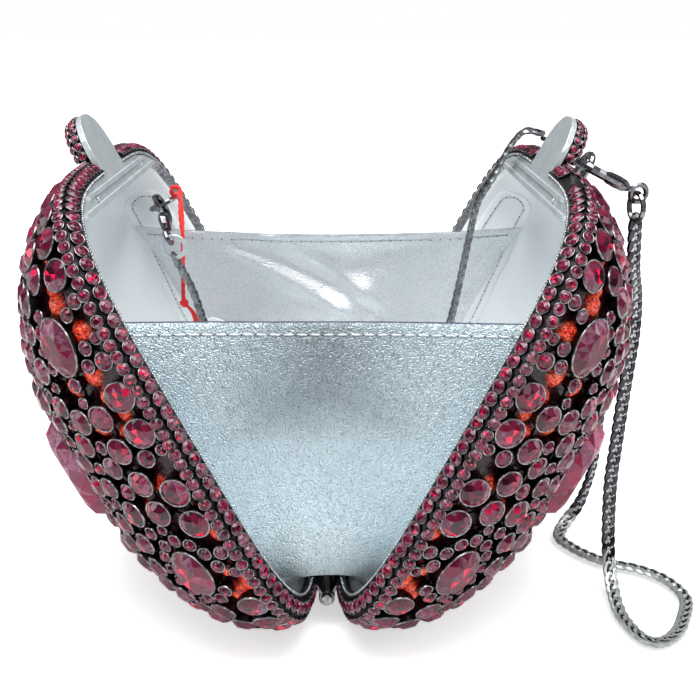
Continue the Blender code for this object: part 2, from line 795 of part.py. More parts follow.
def rivet(dome, end):
    """A rivet with a low head on each side of the clasp plate."""
    mesh = rivet_rod(dome, end, 0.0, SEAT_GAP)
    y = end * RIVET_PLACE
    z = PLATE_FOOT + RIDGE_MARGIN + (RIDGE_PITCH + RIDGE_WIDTH) / 2
    front = PLATE_RECESS - SEAT_GAP
    back = PLATE_RECESS + PLATE_THICKNESS + SEAT_GAP
    for start, reach in ((front - RIVET_HEAD / 2, RIVET_HEAD / 2), (back, RIVET_HEAD)):
        head = rod_mesh("head", dome.place(y, z, start), dome.place(y, z, start + reach), RIVET_RADIUS)
        mesh = combine(mesh, head, "UNION")
    return mesh


def tab_pave(dome):
    """The stone-set plaque on the back of the finger tab."""
    back = PLATE_RECESS + PLATE_THICKNESS + SEAT_GAP
    foot = RIM_BOTTOM + RIM_HEIGHT + BAND_PROUD + SEAT_GAP
    layers = ((back, PAVE_MARGIN), (back + PAVE_THICKNESS - PAVE_CHAMFER, PAVE_MARGIN),
              (back + PAVE_THICKNESS, PAVE_MARGIN + PAVE_CHAMFER))
    loops = []
    for depth, margin in layers:
        rows = tab_outline(margin, RIM_BOTTOM + RIM_HEIGHT)
        rows = [(y, max(z, foot + margin - PAVE_MARGIN)) for y, z in rows]
        rows = [row for i, row in enumerate(rows) if i == 0 or row != rows[i - 1]]
        loops.append([dome.place(y, z, depth) for y, z in rows])
    return loops_to_mesh("pave", loops, closed=False)


def knuckle_span(index):
    """The ends along the hinge of one knuckle."""
    pitch = HINGE_LENGTH / KNUCKLES
    start = -HINGE_LENGTH / 2 + pitch * index
    return start + SEAT_GAP / 2, start + pitch - SEAT_GAP / 2


def hinge_leaf(dome, indices):
    """A hinge leaf with its own knuckles, bored for the pin."""
    back = LEAF_START + LEAF_THICKNESS
    low = KNUCKLE_RADIUS + SEAT_GAP
    half = HINGE_LENGTH / 2
    mesh = box_mesh("leaf", dome.place(-half, low, LEAF_START), dome.place(half, LEAF_HEIGHT, back))
    for index in indices:
        y0, y1 = knuckle_span(index)
        web = box_mesh("web", dome.place(y0, 0.0, LEAF_START), dome.place(y1, low + LEAF_THICKNESS, back))
        barrel = rod_mesh("barrel", Vector((0, y0, 0)), Vector((0, y1, 0)), KNUCKLE_RADIUS)
        mesh = combine(mesh, web, "UNION")
        mesh = combine(mesh, barrel, "UNION")
    start = Vector((0, -half - CUT_OVERRUN, 0))
    end = Vector((0, half + CUT_OVERRUN, 0))
    return combine(mesh, rod_mesh("bore", start, end, PIN_RADIUS + BORE_CLEARANCE), "DIFFERENCE")


def hinge_pin():
    """The pin, with a head at each end."""
    half = HINGE_LENGTH / 2 + SEAT_GAP
    mesh = rod_mesh("pin", Vector((0, -half - PIN_HEAD_LENGTH / 2, 0)), Vector((0, half + PIN_HEAD_LENGTH / 2, 0)),
                    PIN_RADIUS)
    for end in (-1, 1):
        start = Vector((0, end * half, 0))
        head = rod_mesh("pin_head", start, start + Vector((0, end * PIN_HEAD_LENGTH, 0)), PIN_HEAD_RADIUS)
        mesh = combine(mesh, head, "UNION")
    return mesh


def open_place(side, y, height, depth):
    """A point of an open shell, measured from the hinge pin."""
    x = side * (height * math.sin(OPEN_ANGLE) + (depth + MEETING_GAP / 2) * math.cos(OPEN_ANGLE))
    z = height * math.cos(OPEN_ANGLE) - (depth + MEETING_GAP / 2) * math.sin(OPEN_ANGLE)
    return Vector((x, y, z))


def sheet_mesh(name, grid, thickness):
    """A closed sheet from a grid of middle points and the direction that its thickness follows."""
    rows, columns = len(grid), len(grid[0])
    points, faces = [], []
    for side in (-0.5, 0.5):
        for row in grid:
            for point, normal in row:
                points.append(point + normal * (thickness * side))
    back = rows * columns
    for i in range(rows - 1):
        for j in range(columns - 1):
            a = i * columns + j
            faces.append((a, a + 1, a + columns + 1, a + columns))
            faces.append((back + a, back + a + 1, back + a + columns + 1, back + a + columns))
    border = [j for j in range(columns)]
    border += [i * columns + columns - 1 for i in range(1, rows)]
    border += [(rows - 1) * columns + j for j in range(columns - 2, -1, -1)]
    border += [i * columns for i in range(rows - 2, 0, -1)]
    for i, a in enumerate(border):
        b = border[(i + 1) % len(border)]
        faces.append((a, b, back + b, back + a))
    return mesh_from(name, points, faces)


def gusset(end):
    """A leather gusset across the open mouth, drawn in a little towards the bag's middle."""
    grid = []
    dome = Dome(1)
    sine, cosine = math.sin(OPEN_ANGLE), math.cos(OPEN_ANGLE)
    top = RIM_BOTTOM + RIM_HEIGHT * (FAR_GUSSET_SHARE if end > 0 else NEAR_GUSSET_SHARE)
    for i in range(GUSSET_ROWS + 1):
        level = top + (GUSSET_FOOT - top) * i / GUSSET_ROWS
        height = (level + GUSSET_DEPTH * sine) / cosine
        seam = dome.half_width(height, GUSSET_DEPTH, LINING_INSET + LINING_THICKNESS)
        seam -= GUSSET_SEAM_GAP + GUSSET_THICKNESS / 2
        left = open_place(-1, 0, height, GUSSET_DEPTH)
        right = open_place(1, 0, height, GUSSET_DEPTH)
        row = []
        for j in range(GUSSET_COLUMNS + 1):
            across = j / GUSSET_COLUMNS
            point = left.lerp(right, across)
            point.y = end * (seam - GUSSET_SAG * math.sin(math.pi * across))
            row.append((point, Vector((0, 1, 0))))
        grid.append(row)
    return sheet_mesh("gusset", grid, GUSSET_THICKNESS)


def base_strip():
    """The leather strip over the hinge, from one lining to the other."""
    grid = []
    for end in (-1, 1):
        row = []
        for i in range(BASE_STEPS + 1):
            turn = math.pi * i / BASE_STEPS
            point = Vector((-BASE_REACH * math.cos(turn), end * BASE_WIDTH / 2,
                            BASE_CREST - BASE_DROP * (1 - math.sin(turn))))
            normal = Vector((-math.cos(turn) * BASE_DROP, 0, math.sin(turn) * BASE_REACH)).normalized()
            row.append((point, normal))
        grid.append(row)
    return sheet_mesh("base", grid, BASE_THICKNESS)


def loop_wire(centre, out, across):
    """A U of wire that stands out of a shell, its two feet a span apart."""
    half = LOOP_SPAN / 2
    points = [centre - across * half]
    for i in range(LOOP_STEPS + 1):
        turn = math.pi * (1.0 - i / LOOP_STEPS)
        lift = LOOP_REACH * (1.0 - LOOP_HEAD_SHARE + LOOP_HEAD_SHARE * math.sin(turn))
        points.append(centre + across * (half * math.cos(turn)) + out * lift)
    points.append(centre + across * half)
    return tube_mesh("loop", points, LOOP_WIRE)


class Clasp:
    """A lobster clasp, set by its own axes: along to the hook, wide across it and thick through it."""

    def __init__(self, hook_centre, eye_direction, wide, eye_turned):
        self.along = -eye_direction.normalized()
        self.wide = (wide - self.along * wide.dot(self.along)).normalized()
        self.thick = self.along.cross(self.wide)
        self.origin = hook_centre - self.along * HOOK_PLACE
        self.eye_across, self.eye_normal = self.wide, self.thick
        if eye_turned:
            self.eye_across, self.eye_normal = self.thick, self.wide

    def place(self, along, wide, thick=0.0):
        """A point of the clasp, measured from the centre of its eye."""
        return self.origin + self.along * along + self.wide * wide + self.thick * thick

    def on_hook(self, turn):
        """A point on the hook's round, at an angle from the clasp's tip."""
        return self.place(HOOK_PLACE + HOOK_RADIUS * math.cos(turn), HOOK_RADIUS * math.sin(turn))

    def body(self):
        """The shank with its hook."""
        loops = []
        for along, wide, thick in SHANK_SECTION_SHARES:
            loop = []
            for i in range(SHANK_SIDES):
                turn = 2 * math.pi * i / SHANK_SIDES
                across = SHANK_WIDTH / 2 * wide * math.cos(turn)
                through = SHANK_THICKNESS / 2 * thick * math.sin(turn)
                loop.append(self.place(SHANK_START + SHANK_LENGTH * along, across, through))
            loops.append(loop)
        shank = loops_to_mesh("shank", loops, closed=False)
        hook = [self.place(SHANK_START + SHANK_LENGTH / 4, -HOOK_WIRE)]
        for i in range(HOOK_STEPS + 1):
            hook.append(self.on_hook(HOOK_START + (HOOK_END - HOOK_START) * i / HOOK_STEPS))
        return combine(shank, tube_mesh("hook", hook, HOOK_WIRE), "UNION")

    def lever_pivot(self):
        """The point that the sprung lever turns about."""
        return self.place(LEVER_START, LEVER_LIFT)

    def lever(self):
        """The sprung lever that shuts the hook, with its thumb knob."""
        start = self.lever_pivot()
        tip = self.on_hook(HOOK_END + LEVER_GAP)
        middle = start.lerp(tip, 0.5) + self.wide * LEVER_BOW
        bar = tube_mesh("bar", [start, middle, tip], LEVER_RADIUS)
        foot = start - self.wide * (LEVER_RADIUS / 2)
        knob = rod_mesh("knob", foot, start + self.wide * KNOB_REACH, KNOB_RADIUS, WIRE_SIDES)
        return combine(bar, knob, "UNION")

    def eye(self):
        """The swivel eye on the shank's end."""
        ring = ring_mesh("eye", self.origin, self.along, self.eye_across, EYE_RADIUS, EYE_WIRE)
        stem = rod_mesh("stem", self.place(EYE_RADIUS, 0.0), self.place(SHANK_START - SEAT_GAP, 0.0), EYE_WIRE, WIRE_SIDES)
        return combine(ring, stem, "UNION")

    def jump_ring(self, towards):
        """The ring through the eye, and the point on it that takes the end of the chain."""
        out = (towards - self.eye_normal * towards.dot(self.eye_normal)).normalized()
        centre = self.origin + out * RING_RADIUS
        mesh = ring_mesh("jump_ring", centre, out, self.eye_normal, RING_RADIUS, RING_WIRE)
        return mesh, centre + out * (RING_RADIUS + RING_WIRE + CHAIN_END_GAP)


def chain_tube(name, points, material):
    """A free stretch of the strap chain as a plain tube."""
    return tube_object(name, smooth_route(points, CHAIN_STEP), CHAIN_DIAMETER / 2, material)


def add_clasp(word, clasp, towards, finish, lift):
    """Adds one clasp with its ring, and returns where the chain starts."""
    ring, chain_end = clasp.jump_ring(towards)
    pieces = (("clasp_body", clasp.body()), ("clasp_lever", clasp.lever()), ("clasp_eye", clasp.eye()))
    for name, mesh in pieces + (("jump_ring", ring),):
        add_object(f"{word}_{name}", mesh, finish["gunmetal"]).location.z = lift
    pivot = clasp.lever_pivot() + Vector((0, 0, lift))
    print(word, "lever pivot", tuple(pivot), "axis", tuple(-clasp.thick))
    return chain_end + Vector((0, 0, lift))


def add_strap(finish, lift):
    """Adds the two strap loops, the clasps hooked to them and the chain between."""
    sine, cosine = math.sin(OPEN_ANGLE), math.cos(OPEN_ANGLE)
    hinge_way = Vector((0, 1, 0))
    up = {side: Vector((side * sine, 0, cosine)) for side in (-1, 1)}
    out = {side: Vector((side * cosine, 0, -sine)) for side in (-1, 1)}
    dome = Dome(1)
    rim = dome.point(LOOP_TURN, 0.0).z
    foot = open_place(1, -RIGHT_LOOP_PLACE, rim + BAND_PROUD + SEAT_GAP, (BAND_START + BAND_END) / 2)
    loop = loop_wire(foot, up[1], hinge_way)
    add_object("right_strap_loop", loop, finish["nickel"]).location.z = lift
    eye_way = out[1] * math.cos(CLASP_SWING) + hinge_way * math.sin(CLASP_SWING)
    slack = HOOK_RADIUS - HOOK_WIRE - LOOP_WIRE - SEAT_GAP
    hook = foot - hinge_way * (LOOP_SPAN / 2) + up[1] * (LOOP_REACH / 2) + eye_way * slack
    clasp = Clasp(hook, eye_way, hinge_way, eye_turned=True)
    down = Vector((0, 0, -1))
    outer_end = add_clasp("right", clasp, down, finish, lift)

    inner = LINING_INSET + LINING_THICKNESS
    deep_foot = LEFT_LOOP_DEPTH + LOOP_SPAN / 2 + LOOP_WIRE
    wall = dome.half_width(LEFT_LOOP_HEIGHT + LOOP_WIRE, deep_foot, inner) - GUSSET_SEAM_GAP
    foot = open_place(-1, wall, LEFT_LOOP_HEIGHT, LEFT_LOOP_DEPTH)
    loop = loop_wire(foot, -hinge_way, out[-1])
    add_object("left_strap_loop", loop, finish["nickel"]).location.z = lift
    eye_way = -hinge_way * math.cos(LEFT_CLASP_DROP) - up[-1] * math.sin(LEFT_CLASP_DROP)
    hook = foot - hinge_way * LOOP_REACH + eye_way * slack
    clasp = Clasp(hook, eye_way, up[-1], eye_turned=False)
    inner_end = add_clasp("left", clasp, down, finish, lift)

    chain_tube("chain_inner", [inner_end] + [Vector(point) for point in INNER_ROUTE], finish["gunmetal"])
    chain_tube("chain_outer", [Vector(point) for point in OUTER_ROUTE] + [outer_end], finish["gunmetal"])


def add_tag(finish):
    """Adds the swing tag: a cut-cornered card that hangs from a tied string."""
    route = [Vector(point) for point in STRING_ROUTE]
    tube_object("tag_string", smooth_route(route, STRING_STEP), STRING_DIAMETER / 2, finish["thread"], resolution=1)
    half = CARD_WIDTH / 2
    outline = (
        (-half + CARD_CORNER, 0.0),
        (half - CARD_CORNER, 0.0),
        (half, -CARD_CORNER),
        (half, -CARD_LENGTH),
        (-half, -CARD_LENGTH),
        (-half, -CARD_CORNER),
    )
    across = Vector((math.cos(CARD_LEAN), 0, math.sin(CARD_LEAN)))
    up = Vector((-math.sin(CARD_LEAN), 0, math.cos(CARD_LEAN)))
    top = route[-1] - up * (SEAT_GAP + STRING_DIAMETER / 2)
    loops = []
    for side in (-0.5, 0.5):
        back = Vector((0, CARD_THICKNESS * side, 0))
        loops.append([top + across * x + up * z + back for x, z in outline])
    add_object("hang_tag", loops_to_mesh("card", loops, closed=False), finish["card"])


def lowest_point(items):
    """The least height that any of the objects reaches."""
    bpy.context.view_layer.update()
    return min((item.matrix_world @ corner.co).z for item in items for corner in item.data.vertices)


def main():
    """Builds the clutch."""
    clear_scene()
    axes, shells = [], []
    finish = {name: named_material(name, *values) for name, values in MATERIALS.items()}
    for side, word in ((-1, "left"), (1, "right")):
        dome = Dome(side)
        axis = bpy.data.objects.new(f"{word}_hinge_axis", None)
        axis.rotation_euler.y = side * OPEN_ANGLE
        bpy.context.scene.collection.objects.link(axis)
        skin_start = WALL_DEPTH + SEAT_GAP
        pieces = (
            ("jewel_shell", jewelled_cage(dome), "crystal"),
            ("rim_frame", rim_frame(dome), "nickel"),
            ("stone_band", stone_band(dome), "crystal"),
            ("glitter_skin", dome.shell("skin", skin_start, CAGE_WALL + SEAT_GAP, SKIN_THICKNESS), "glitter"),
            ("lining", dome.shell("lining", LINING_START, LINING_INSET, LINING_THICKNESS), "leather"),
            ("clasp_plate", clasp_plate(dome), "nickel"),
            ("tab_pave", tab_pave(dome), "crystal"),
            ("near_rivet", rivet(dome, -1), "gunmetal"),
            ("far_rivet", rivet(dome, 1), "gunmetal"),
            ("hinge_leaf", hinge_leaf(dome, range(0 if side < 0 else 1, KNUCKLES, 2)), "gunmetal"),
        )
        for name, mesh, material in pieces:
            item = add_object(f"{word}_{name}", mesh, finish[material], axis)
            if name == "jewel_shell":
                shells.append(item)
        axes.append(axis)
    lift = -lowest_point(shells)
    for axis in axes:
        axis.location.z = lift
    add_object("hinge_pin", hinge_pin(), finish["gunmetal"]).location.z = lift
    add_object("near_gusset", gusset(-1), finish["leather"]).location.z = lift
    add_object("far_gusset", gusset(1), finish["leather"]).location.z = lift
    add_object("base_strip", base_strip(), finish["leather"]).location.z = lift
    add_strap(finish, lift)
    add_tag(finish)
    bpy.context.view_layer.update()
    print("hinge height", lift)


if __name__ == "__main__":
    main()
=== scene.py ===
"""Dresses the jewelled evening clutch, standing open, for a soft studio picture.

Every sub-assembly is a class that holds its own sizes and makes its own meshes: the two stone-set shells,
their rims, linings and tabs, the gussets and base strip, the chain strap, the swing tag, the metal fittings
and the studio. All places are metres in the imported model's frame, with the hinge along Y.
"""

from __future__ import annotations

import sys

import logging
import math
from collections.abc import Sequence
from dataclasses import dataclass, field
from enum import Enum

import bpy
import numpy as np
from mathutils import Matrix, Vector


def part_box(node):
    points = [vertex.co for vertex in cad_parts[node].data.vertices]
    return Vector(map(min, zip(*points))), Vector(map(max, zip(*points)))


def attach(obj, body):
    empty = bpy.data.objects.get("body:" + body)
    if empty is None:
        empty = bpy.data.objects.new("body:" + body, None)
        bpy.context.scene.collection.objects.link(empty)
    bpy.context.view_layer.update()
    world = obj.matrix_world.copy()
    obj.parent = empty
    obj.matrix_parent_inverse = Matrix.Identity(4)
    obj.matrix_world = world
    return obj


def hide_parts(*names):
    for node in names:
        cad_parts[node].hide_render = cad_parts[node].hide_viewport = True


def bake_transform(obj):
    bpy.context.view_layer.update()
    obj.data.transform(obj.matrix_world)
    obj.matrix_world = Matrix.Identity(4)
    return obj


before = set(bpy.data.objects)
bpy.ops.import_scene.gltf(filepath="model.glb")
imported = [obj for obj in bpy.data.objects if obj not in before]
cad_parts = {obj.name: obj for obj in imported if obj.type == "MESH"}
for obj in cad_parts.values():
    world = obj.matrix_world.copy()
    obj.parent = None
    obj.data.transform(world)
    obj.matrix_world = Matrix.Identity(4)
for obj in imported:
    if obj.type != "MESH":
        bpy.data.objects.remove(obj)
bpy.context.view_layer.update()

LOG = logging.getLogger("clutch")

TURN = 2 * math.pi
HALF_DEGREE = math.radians(0.5)
CROWN_RISE = math.pi / 2 - 0.002
OVAL_RATIO = 1.05
SPIN = 6.28
SPIN_STEP = 0.618

Points = np.ndarray
Faces = list[tuple[int, ...]]
Spot = tuple[float, float, float]
Colour = tuple[float, float, float]
Route = tuple[Spot, ...]
Looks = tuple[tuple[float, Spot], ...]
Frame = tuple[Points, Points, Points, Points]
Socket = bpy.types.NodeSocket
Material = bpy.types.Material
Piece = bpy.types.Object


class Side(Enum):
    """The two shells, each with the sign of its X."""

    LEFT = -1
    RIGHT = 1

    @property
    def word(self) -> str:
        """The side's word in node names."""
        return self.name.lower()

    @property
    def body(self) -> str:
        """The body that the side's pieces ride on."""
        return f"{self.word}_shell"


class End(Enum):
    """The near and far ends of the hinge, each with the sign of its Y."""

    NEAR = -1
    FAR = 1

    @property
    def word(self) -> str:
        """The end's word in node names."""
        return self.name.lower()


class NodeTree:
    """Adds the nodes of a material or world and links them."""

    def __init__(self, owner: Material | bpy.types.World) -> None:
        """Takes the tree of a material or world."""
        owner.use_nodes = True
        self.tree = owner.node_tree

    def node(
        self, kind: str, feeds: dict[object, object] | None = None, **settings: object
    ) -> bpy.types.Node:
        """Adds a node.

        Args:
            kind: Its type, without the first words of Blender's name.
            feeds: What each of its inputs takes, by the input's name or number.
            settings: Its own properties.

        Returns:
            The node.
        """
        made = self.tree.nodes.new(f"ShaderNode{kind}")
        for key, value in settings.items():
            setattr(made, key, value)
        for key, source in (feeds or {}).items():
            self.join(source, made.inputs[key])
        return made

    def join(self, source: object, target: Socket) -> None:
        """Feeds a socket from another one, or with a value.

        Args:
            source: The other socket, or the value.
            target: The socket that is fed.
        """
        if isinstance(source, Socket):
            self.tree.links.new(source, target)
        else:
            target.default_value = source


class Recipe(NodeTree):
    """Builds one material's nodes, a pattern or a step at a time."""

    def __init__(self, name: str) -> None:
        """Starts a material with a Principled shader.

        Args:
            name: The material's name.
        """
        self.material = bpy.data.materials.new(name)
        super().__init__(self.material)
        self.shader = self.tree.nodes["Principled BSDF"]
        self.place = self.node("TexCoord").outputs["Object"]

    def noise(self, scale: float, detail: float = 3.0, rough: float = 0.55, at: object = None) -> Socket:
        """Noise of so many cells to the metre, in the piece's own space or read at another place."""
        feeds = {"Vector": at or self.place, "Scale": scale, "Detail": detail, "Roughness": rough}
        return self.node("TexNoise", feeds).outputs[0]

    def cells(self, scale: float, feature: str = "F1", output: str = "Distance", at: object = None) -> Socket:
        """Cells, so many to the metre, in the piece's own space or read at another place."""
        feeds = {"Vector": at or self.place, "Scale": scale}
        return self.node("TexVoronoi", feeds, feature=feature).outputs[output]

    def blend(self, share: object, first: object, second: object) -> Socket:
        """Mixes two colours by the share of the second one."""
        return self.node("Mix", {0: share, 6: first, 7: second}, data_type="RGBA").outputs[2]

    def span(self, value: object, low: float, high: float, start: float = 0.0, stop: float = 1.0) -> Socket:
        """Maps the values from low to high onto those from start to stop, and holds them there."""
        feeds = {"Value": value, "From Min": low, "From Max": high, "To Min": start, "To Max": stop}
        return self.node("MapRange", feeds).outputs["Result"]

    def maths(self, operation: str, first: object, second: object = 0.0) -> Socket:
        """One step of arithmetic, by Blender's name of it."""
        return self.node("Math", {0: first, 1: second}, operation=operation).outputs[0]

    def scaled(self, vector: Socket, by: object) -> Socket:
        """A vector or colour times a number."""
        return self.node("VectorMath", {0: vector, "Scale": by}, operation="SCALE").outputs["Vector"]

    def parts(self, kind: str, source: Socket) -> Sequence[Socket]:
        """The three parts of a vector, "XYZ", or of a colour, "Color"."""
        return self.node(f"Separate{kind}", {0: source}).outputs

    def attribute(self, name: str) -> Socket:
        """A named number that the mesh carries."""
        return self.node("Attribute", attribute_name=name).outputs["Fac"]

    def bump(self, height: object, strength: float, depth: float, over: object = None) -> Socket:
        """A bump that stands so many metres high, laid over another one if that is given."""
        feeds = {"Strength": strength, "Distance": depth, "Height": height}
        return self.node("Bump", feeds | ({} if over is None else {"Normal": over})).outputs["Normal"]

    def ramp(self, value: object, stops: Looks) -> Socket:
        """Colours a value.

        Args:
            value: The socket that is read.
            stops: Each place with its colour.

        Returns:
            The colour's socket.
        """
        made = self.node("ValToRGB", {"Fac": value})
        band = made.color_ramp
        while len(band.elements) < len(stops):
            band.elements.new(0.5)
        for element, (where, colour) in zip(band.elements, stops):
            element.position = where
            element.color = (*colour, 1.0)
        return made.outputs["Color"]

    def fixed(self, **values: object) -> None:
        """Sets uniform values on the shader's own sockets, with underscores for spaces in their names."""
        for key, value in values.items():
            self.shader.inputs[key.replace("_", " ")].default_value = value

    def wire(self, **sources: object) -> Material:
        """Links sockets to the shader's inputs, with underscores for spaces in their names.

        Args:
            sources: The input's name and what feeds it.

        Returns:
            The finished material.
        """
        for key, source in sources.items():
            self.join(source, self.shader.inputs[key.replace("_", " ")])
        return self.material


@dataclass(frozen=True)
class CutCrystal:
    """Foiled wine-red crystal, each facet with its own tone, which paints the facet's reflection: dark wine
    to bright red, and mauve for a painted reflection of the studio.
    """

    name: str = "cut_crystal"
    # Lightens every stop: a paler copy with brighter painted reflections for the large slabs.
    paler: float = 1.0
    stops: Looks = (
        (0.0, (0.01, 0.001, 0.003)),
        (0.2, (0.052, 0.001, 0.012)),
        (0.42, (0.15, 0.002, 0.026)),
        (0.58, (0.09, 0.018, 0.04)),
        (0.7, (0.225, 0.085, 0.14)),
        (0.8, (0.24, 0.003, 0.034)),
        (0.93, (0.68, 0.004, 0.05)),
        (1.0, (1.0, 0.022, 0.08)),
    )

    def make(self) -> Material:
        """Builds the material.

        Returns:
            The material.
        """
        mix = Recipe(self.name)
        tone = mix.attribute("tone")
        cloud = mix.span(mix.noise(900.0, 2.0), 0.35, 0.65, -0.05, 0.05)
        stops = tuple(
            (where, tuple(min(1.0, part * self.paler) for part in colour)) for where, colour in self.stops
        )
        colour = mix.ramp(mix.maths("ADD", tone, cloud), stops)
        wear = mix.noise(2600.0, 4.0)
        mix.fixed(Metallic=0.0, IOR=1.52)
        return mix.wire(
            Base_Color=colour,
            Roughness=mix.span(wear, 0.3, 0.75, 0.03, 0.12),
            Normal=mix.bump(wear, 0.06, 0.00005),
        )


@dataclass(frozen=True)
class Metal:
    """A plated metal, darker in random patches and dulled by handling."""

    name: str
    bright: Colour
    dark: Colour
    smooth: float
    dull: float
    patch: float = 350.0
    scratch: float = 0.1
    metallic: float = 1.0

    def make(self) -> Material:
        """Builds the material.

        Returns:
            The material.
        """
        mix = Recipe(self.name)
        cloud = mix.noise(self.patch, 4.0, 0.6)
        stretched = mix.node("Mapping", {"Vector": mix.place, "Scale": (1.0, 0.12, 1.0)}).outputs["Vector"]
        lines = mix.noise(5200.0, 2.0, 0.7, stretched)
        share = mix.span(cloud, 0.38, 0.66)
        wear = mix.maths("ADD", cloud, mix.maths("MULTIPLY", lines, 0.4))
        mix.fixed(Metallic=self.metallic)
        return mix.wire(
            Base_Color=mix.blend(share, (*self.bright, 1.0), (*self.dark, 1.0)),
            Roughness=mix.span(wear, 0.5, 0.95, self.smooth, self.dull),
            Normal=mix.bump(lines, self.scratch, 0.00003, mix.bump(cloud, 0.12, 0.0002)),
        )


@dataclass(frozen=True)
class Glitter:
    """Coarse foil flakes in lacquer, painted bright where heaped up near the rim and near-black with painted
    shade farther in, with a faint painted glow.
    """

    name: str = "red_glitter"
    # Strength of the glitter's painted glow, in its own colour.
    glow: float = 0.09

    def make(self) -> Material:
        """Builds the material.

        Returns:
            The material.
        """
        mix = Recipe(self.name)
        red, green, blue = mix.parts("Color", mix.cells(2300.0, output="Color"))
        lit = mix.ramp(
            red,
            (
                (0.0, (0.09, 0.002, 0.003)),
                (0.28, (0.45, 0.007, 0.006)),
                (0.5, (0.95, 0.035, 0.011)),
                (0.85, (1.0, 0.09, 0.02)),
                (1.0, (1.0, 0.3, 0.1)),
            ),
        )
        # Painted shade: near-black where the glitter is not heaped up, the lit colour on the heaps.
        colour = mix.blend(mix.span(mix.attribute("lit"), 0.1, 0.6), (0.022, 0.002, 0.005, 1.0), lit)
        # The emission is a painted glow, not a lamp.
        mix.fixed(Metallic=0.0, IOR=1.5, Emission_Strength=self.glow)
        return mix.wire(
            Base_Color=colour,
            Emission_Color=colour,
            Roughness=mix.span(green, 0.0, 1.0, 0.15, 0.5),
            Normal=mix.bump(blue, 0.9, 0.0004),
        )


@dataclass(frozen=True)
class Leather:
    """Silver-foiled leather, with a pebbled grain and soft creases."""

    name: str
    colour: Colour
    shade: Colour
    pebble: float
    grain: float
    smooth: float = 0.34
    metallic: float = 0.45
    crease: float = 0.22
    # These four scale the colour as painted light and shade: at the foot, at the top, in the gap at the
    # hinge's near end, and at the top of the middle.
    low: float = 1.0
    high: float = 1.0
    gap: float = 1.0
    middle: float = 1.0

    def shading(self, mix: Recipe) -> Socket:
        """The leather's painted light and shade: lighter or darker by height, a painted shade patch at the
        top of the middle, and painted shadow in the gap at the hinge's near end.

        Args:
            mix: The material's recipe.

        Returns:
            The brightness to multiply by.
        """
        x, y, z = mix.parts("XYZ", mix.place)
        # Painted light and shade by height, from the foot's factor to the top's.
        by_height = mix.span(z, 0.03, 0.085, self.low, self.high)
        # A painted shade patch at the top of the middle.
        dull = mix.span(mix.maths("ABSOLUTE", x), 0.002, 0.03, self.middle, 1.0)
        dull = mix.maths("MAXIMUM", dull, mix.span(z, 0.06, 0.09, 1.0, 0.0))
        by_height = mix.maths("MULTIPLY", by_height, dull)
        # Painted shadow low down at the hinge's near end.
        near = mix.span(y, -0.036, -0.028, self.gap, 1.0)
        return mix.maths("MULTIPLY", by_height, mix.maths("MAXIMUM", near, mix.span(z, 0.018, 0.03)))

    def make(self) -> Material:
        """Builds the material.

        Returns:
            The material.
        """
        mix = Recipe(self.name)
        drift = mix.node("TexNoise", {"Vector": mix.place, "Scale": 420.0}).outputs["Color"]
        warp = mix.node("VectorMath", {0: mix.place, 1: mix.scaled(drift, 0.0012)}, operation="ADD")
        pebble = mix.cells(self.pebble, "SMOOTH_F1", at=warp.outputs["Vector"])
        fine = mix.noise(self.pebble * 3.1, 3.0, 0.6)
        crease = mix.noise(70.0, 3.0, 0.5)
        cloud = mix.noise(28.0, 3.0, 0.5)
        tint = mix.blend(mix.span(cloud, 0.35, 0.7), (*self.colour, 1.0), (*self.shade, 1.0))
        # Painted shade in the crevices between the pebbles.
        hollow = mix.span(pebble, 0.35, 0.85, 0.0, 0.45 * min(2.0, self.grain))
        shaded = mix.blend(hollow, tint, (*[c * 0.62 for c in self.shade], 1.0))
        normal = mix.bump(crease, self.crease, 0.0012)
        normal = mix.bump(mix.maths("SUBTRACT", 1.0, pebble), 0.55 * self.grain, 0.00035, normal)
        normal = mix.bump(fine, 0.22 * self.grain, 0.00012, normal)
        mix.fixed(Metallic=self.metallic, IOR=1.5)
        return mix.wire(
            Base_Color=mix.scaled(shaded, self.shading(mix)),
            Roughness=mix.span(mix.maths("ADD", fine, cloud), 0.7, 1.3, self.smooth, self.smooth + 0.16),
            Normal=normal,
        )


@dataclass(frozen=True)
class Yarn:
    """Spun thread, with its twist and a little fuzz."""

    name: str
    colour: Colour
    shade: Colour
    twist: float

    def make(self) -> Material:
        """Builds the material.

        Returns:
            The material.
        """
        mix = Recipe(self.name)
        fibre = mix.noise(self.twist, 5.0, 0.7)
        tint = mix.blend(mix.span(fibre, 0.35, 0.7), (*self.colour, 1.0), (*self.shade, 1.0))
        mix.fixed(Sheen_Weight=0.4, Sheen_Roughness=0.4)
        rough = mix.span(fibre, 0.3, 0.7, 0.65, 0.9)
        return mix.wire(Base_Color=tint, Roughness=rough, Normal=mix.bump(fibre, 0.5, 0.0003))


@dataclass(frozen=True)
class Card:
    """Uncoated white board with a faint fibre."""

    name: str = "white_board"

    def make(self) -> Material:
        """Builds the material.

        Returns:
            The material.
        """
        mix = Recipe(self.name)
        fibre = mix.noise(1800.0, 5.0, 0.7)
        cloud = mix.noise(160.0, 3.0)
        tint = mix.blend(mix.span(cloud, 0.3, 0.7), (0.86, 0.86, 0.85, 1.0), (0.8, 0.8, 0.79, 1.0))
        rough = mix.span(fibre, 0.3, 0.7, 0.6, 0.85)
        return mix.wire(Base_Color=tint, Roughness=rough, Normal=mix.bump(fibre, 0.18, 0.0001))


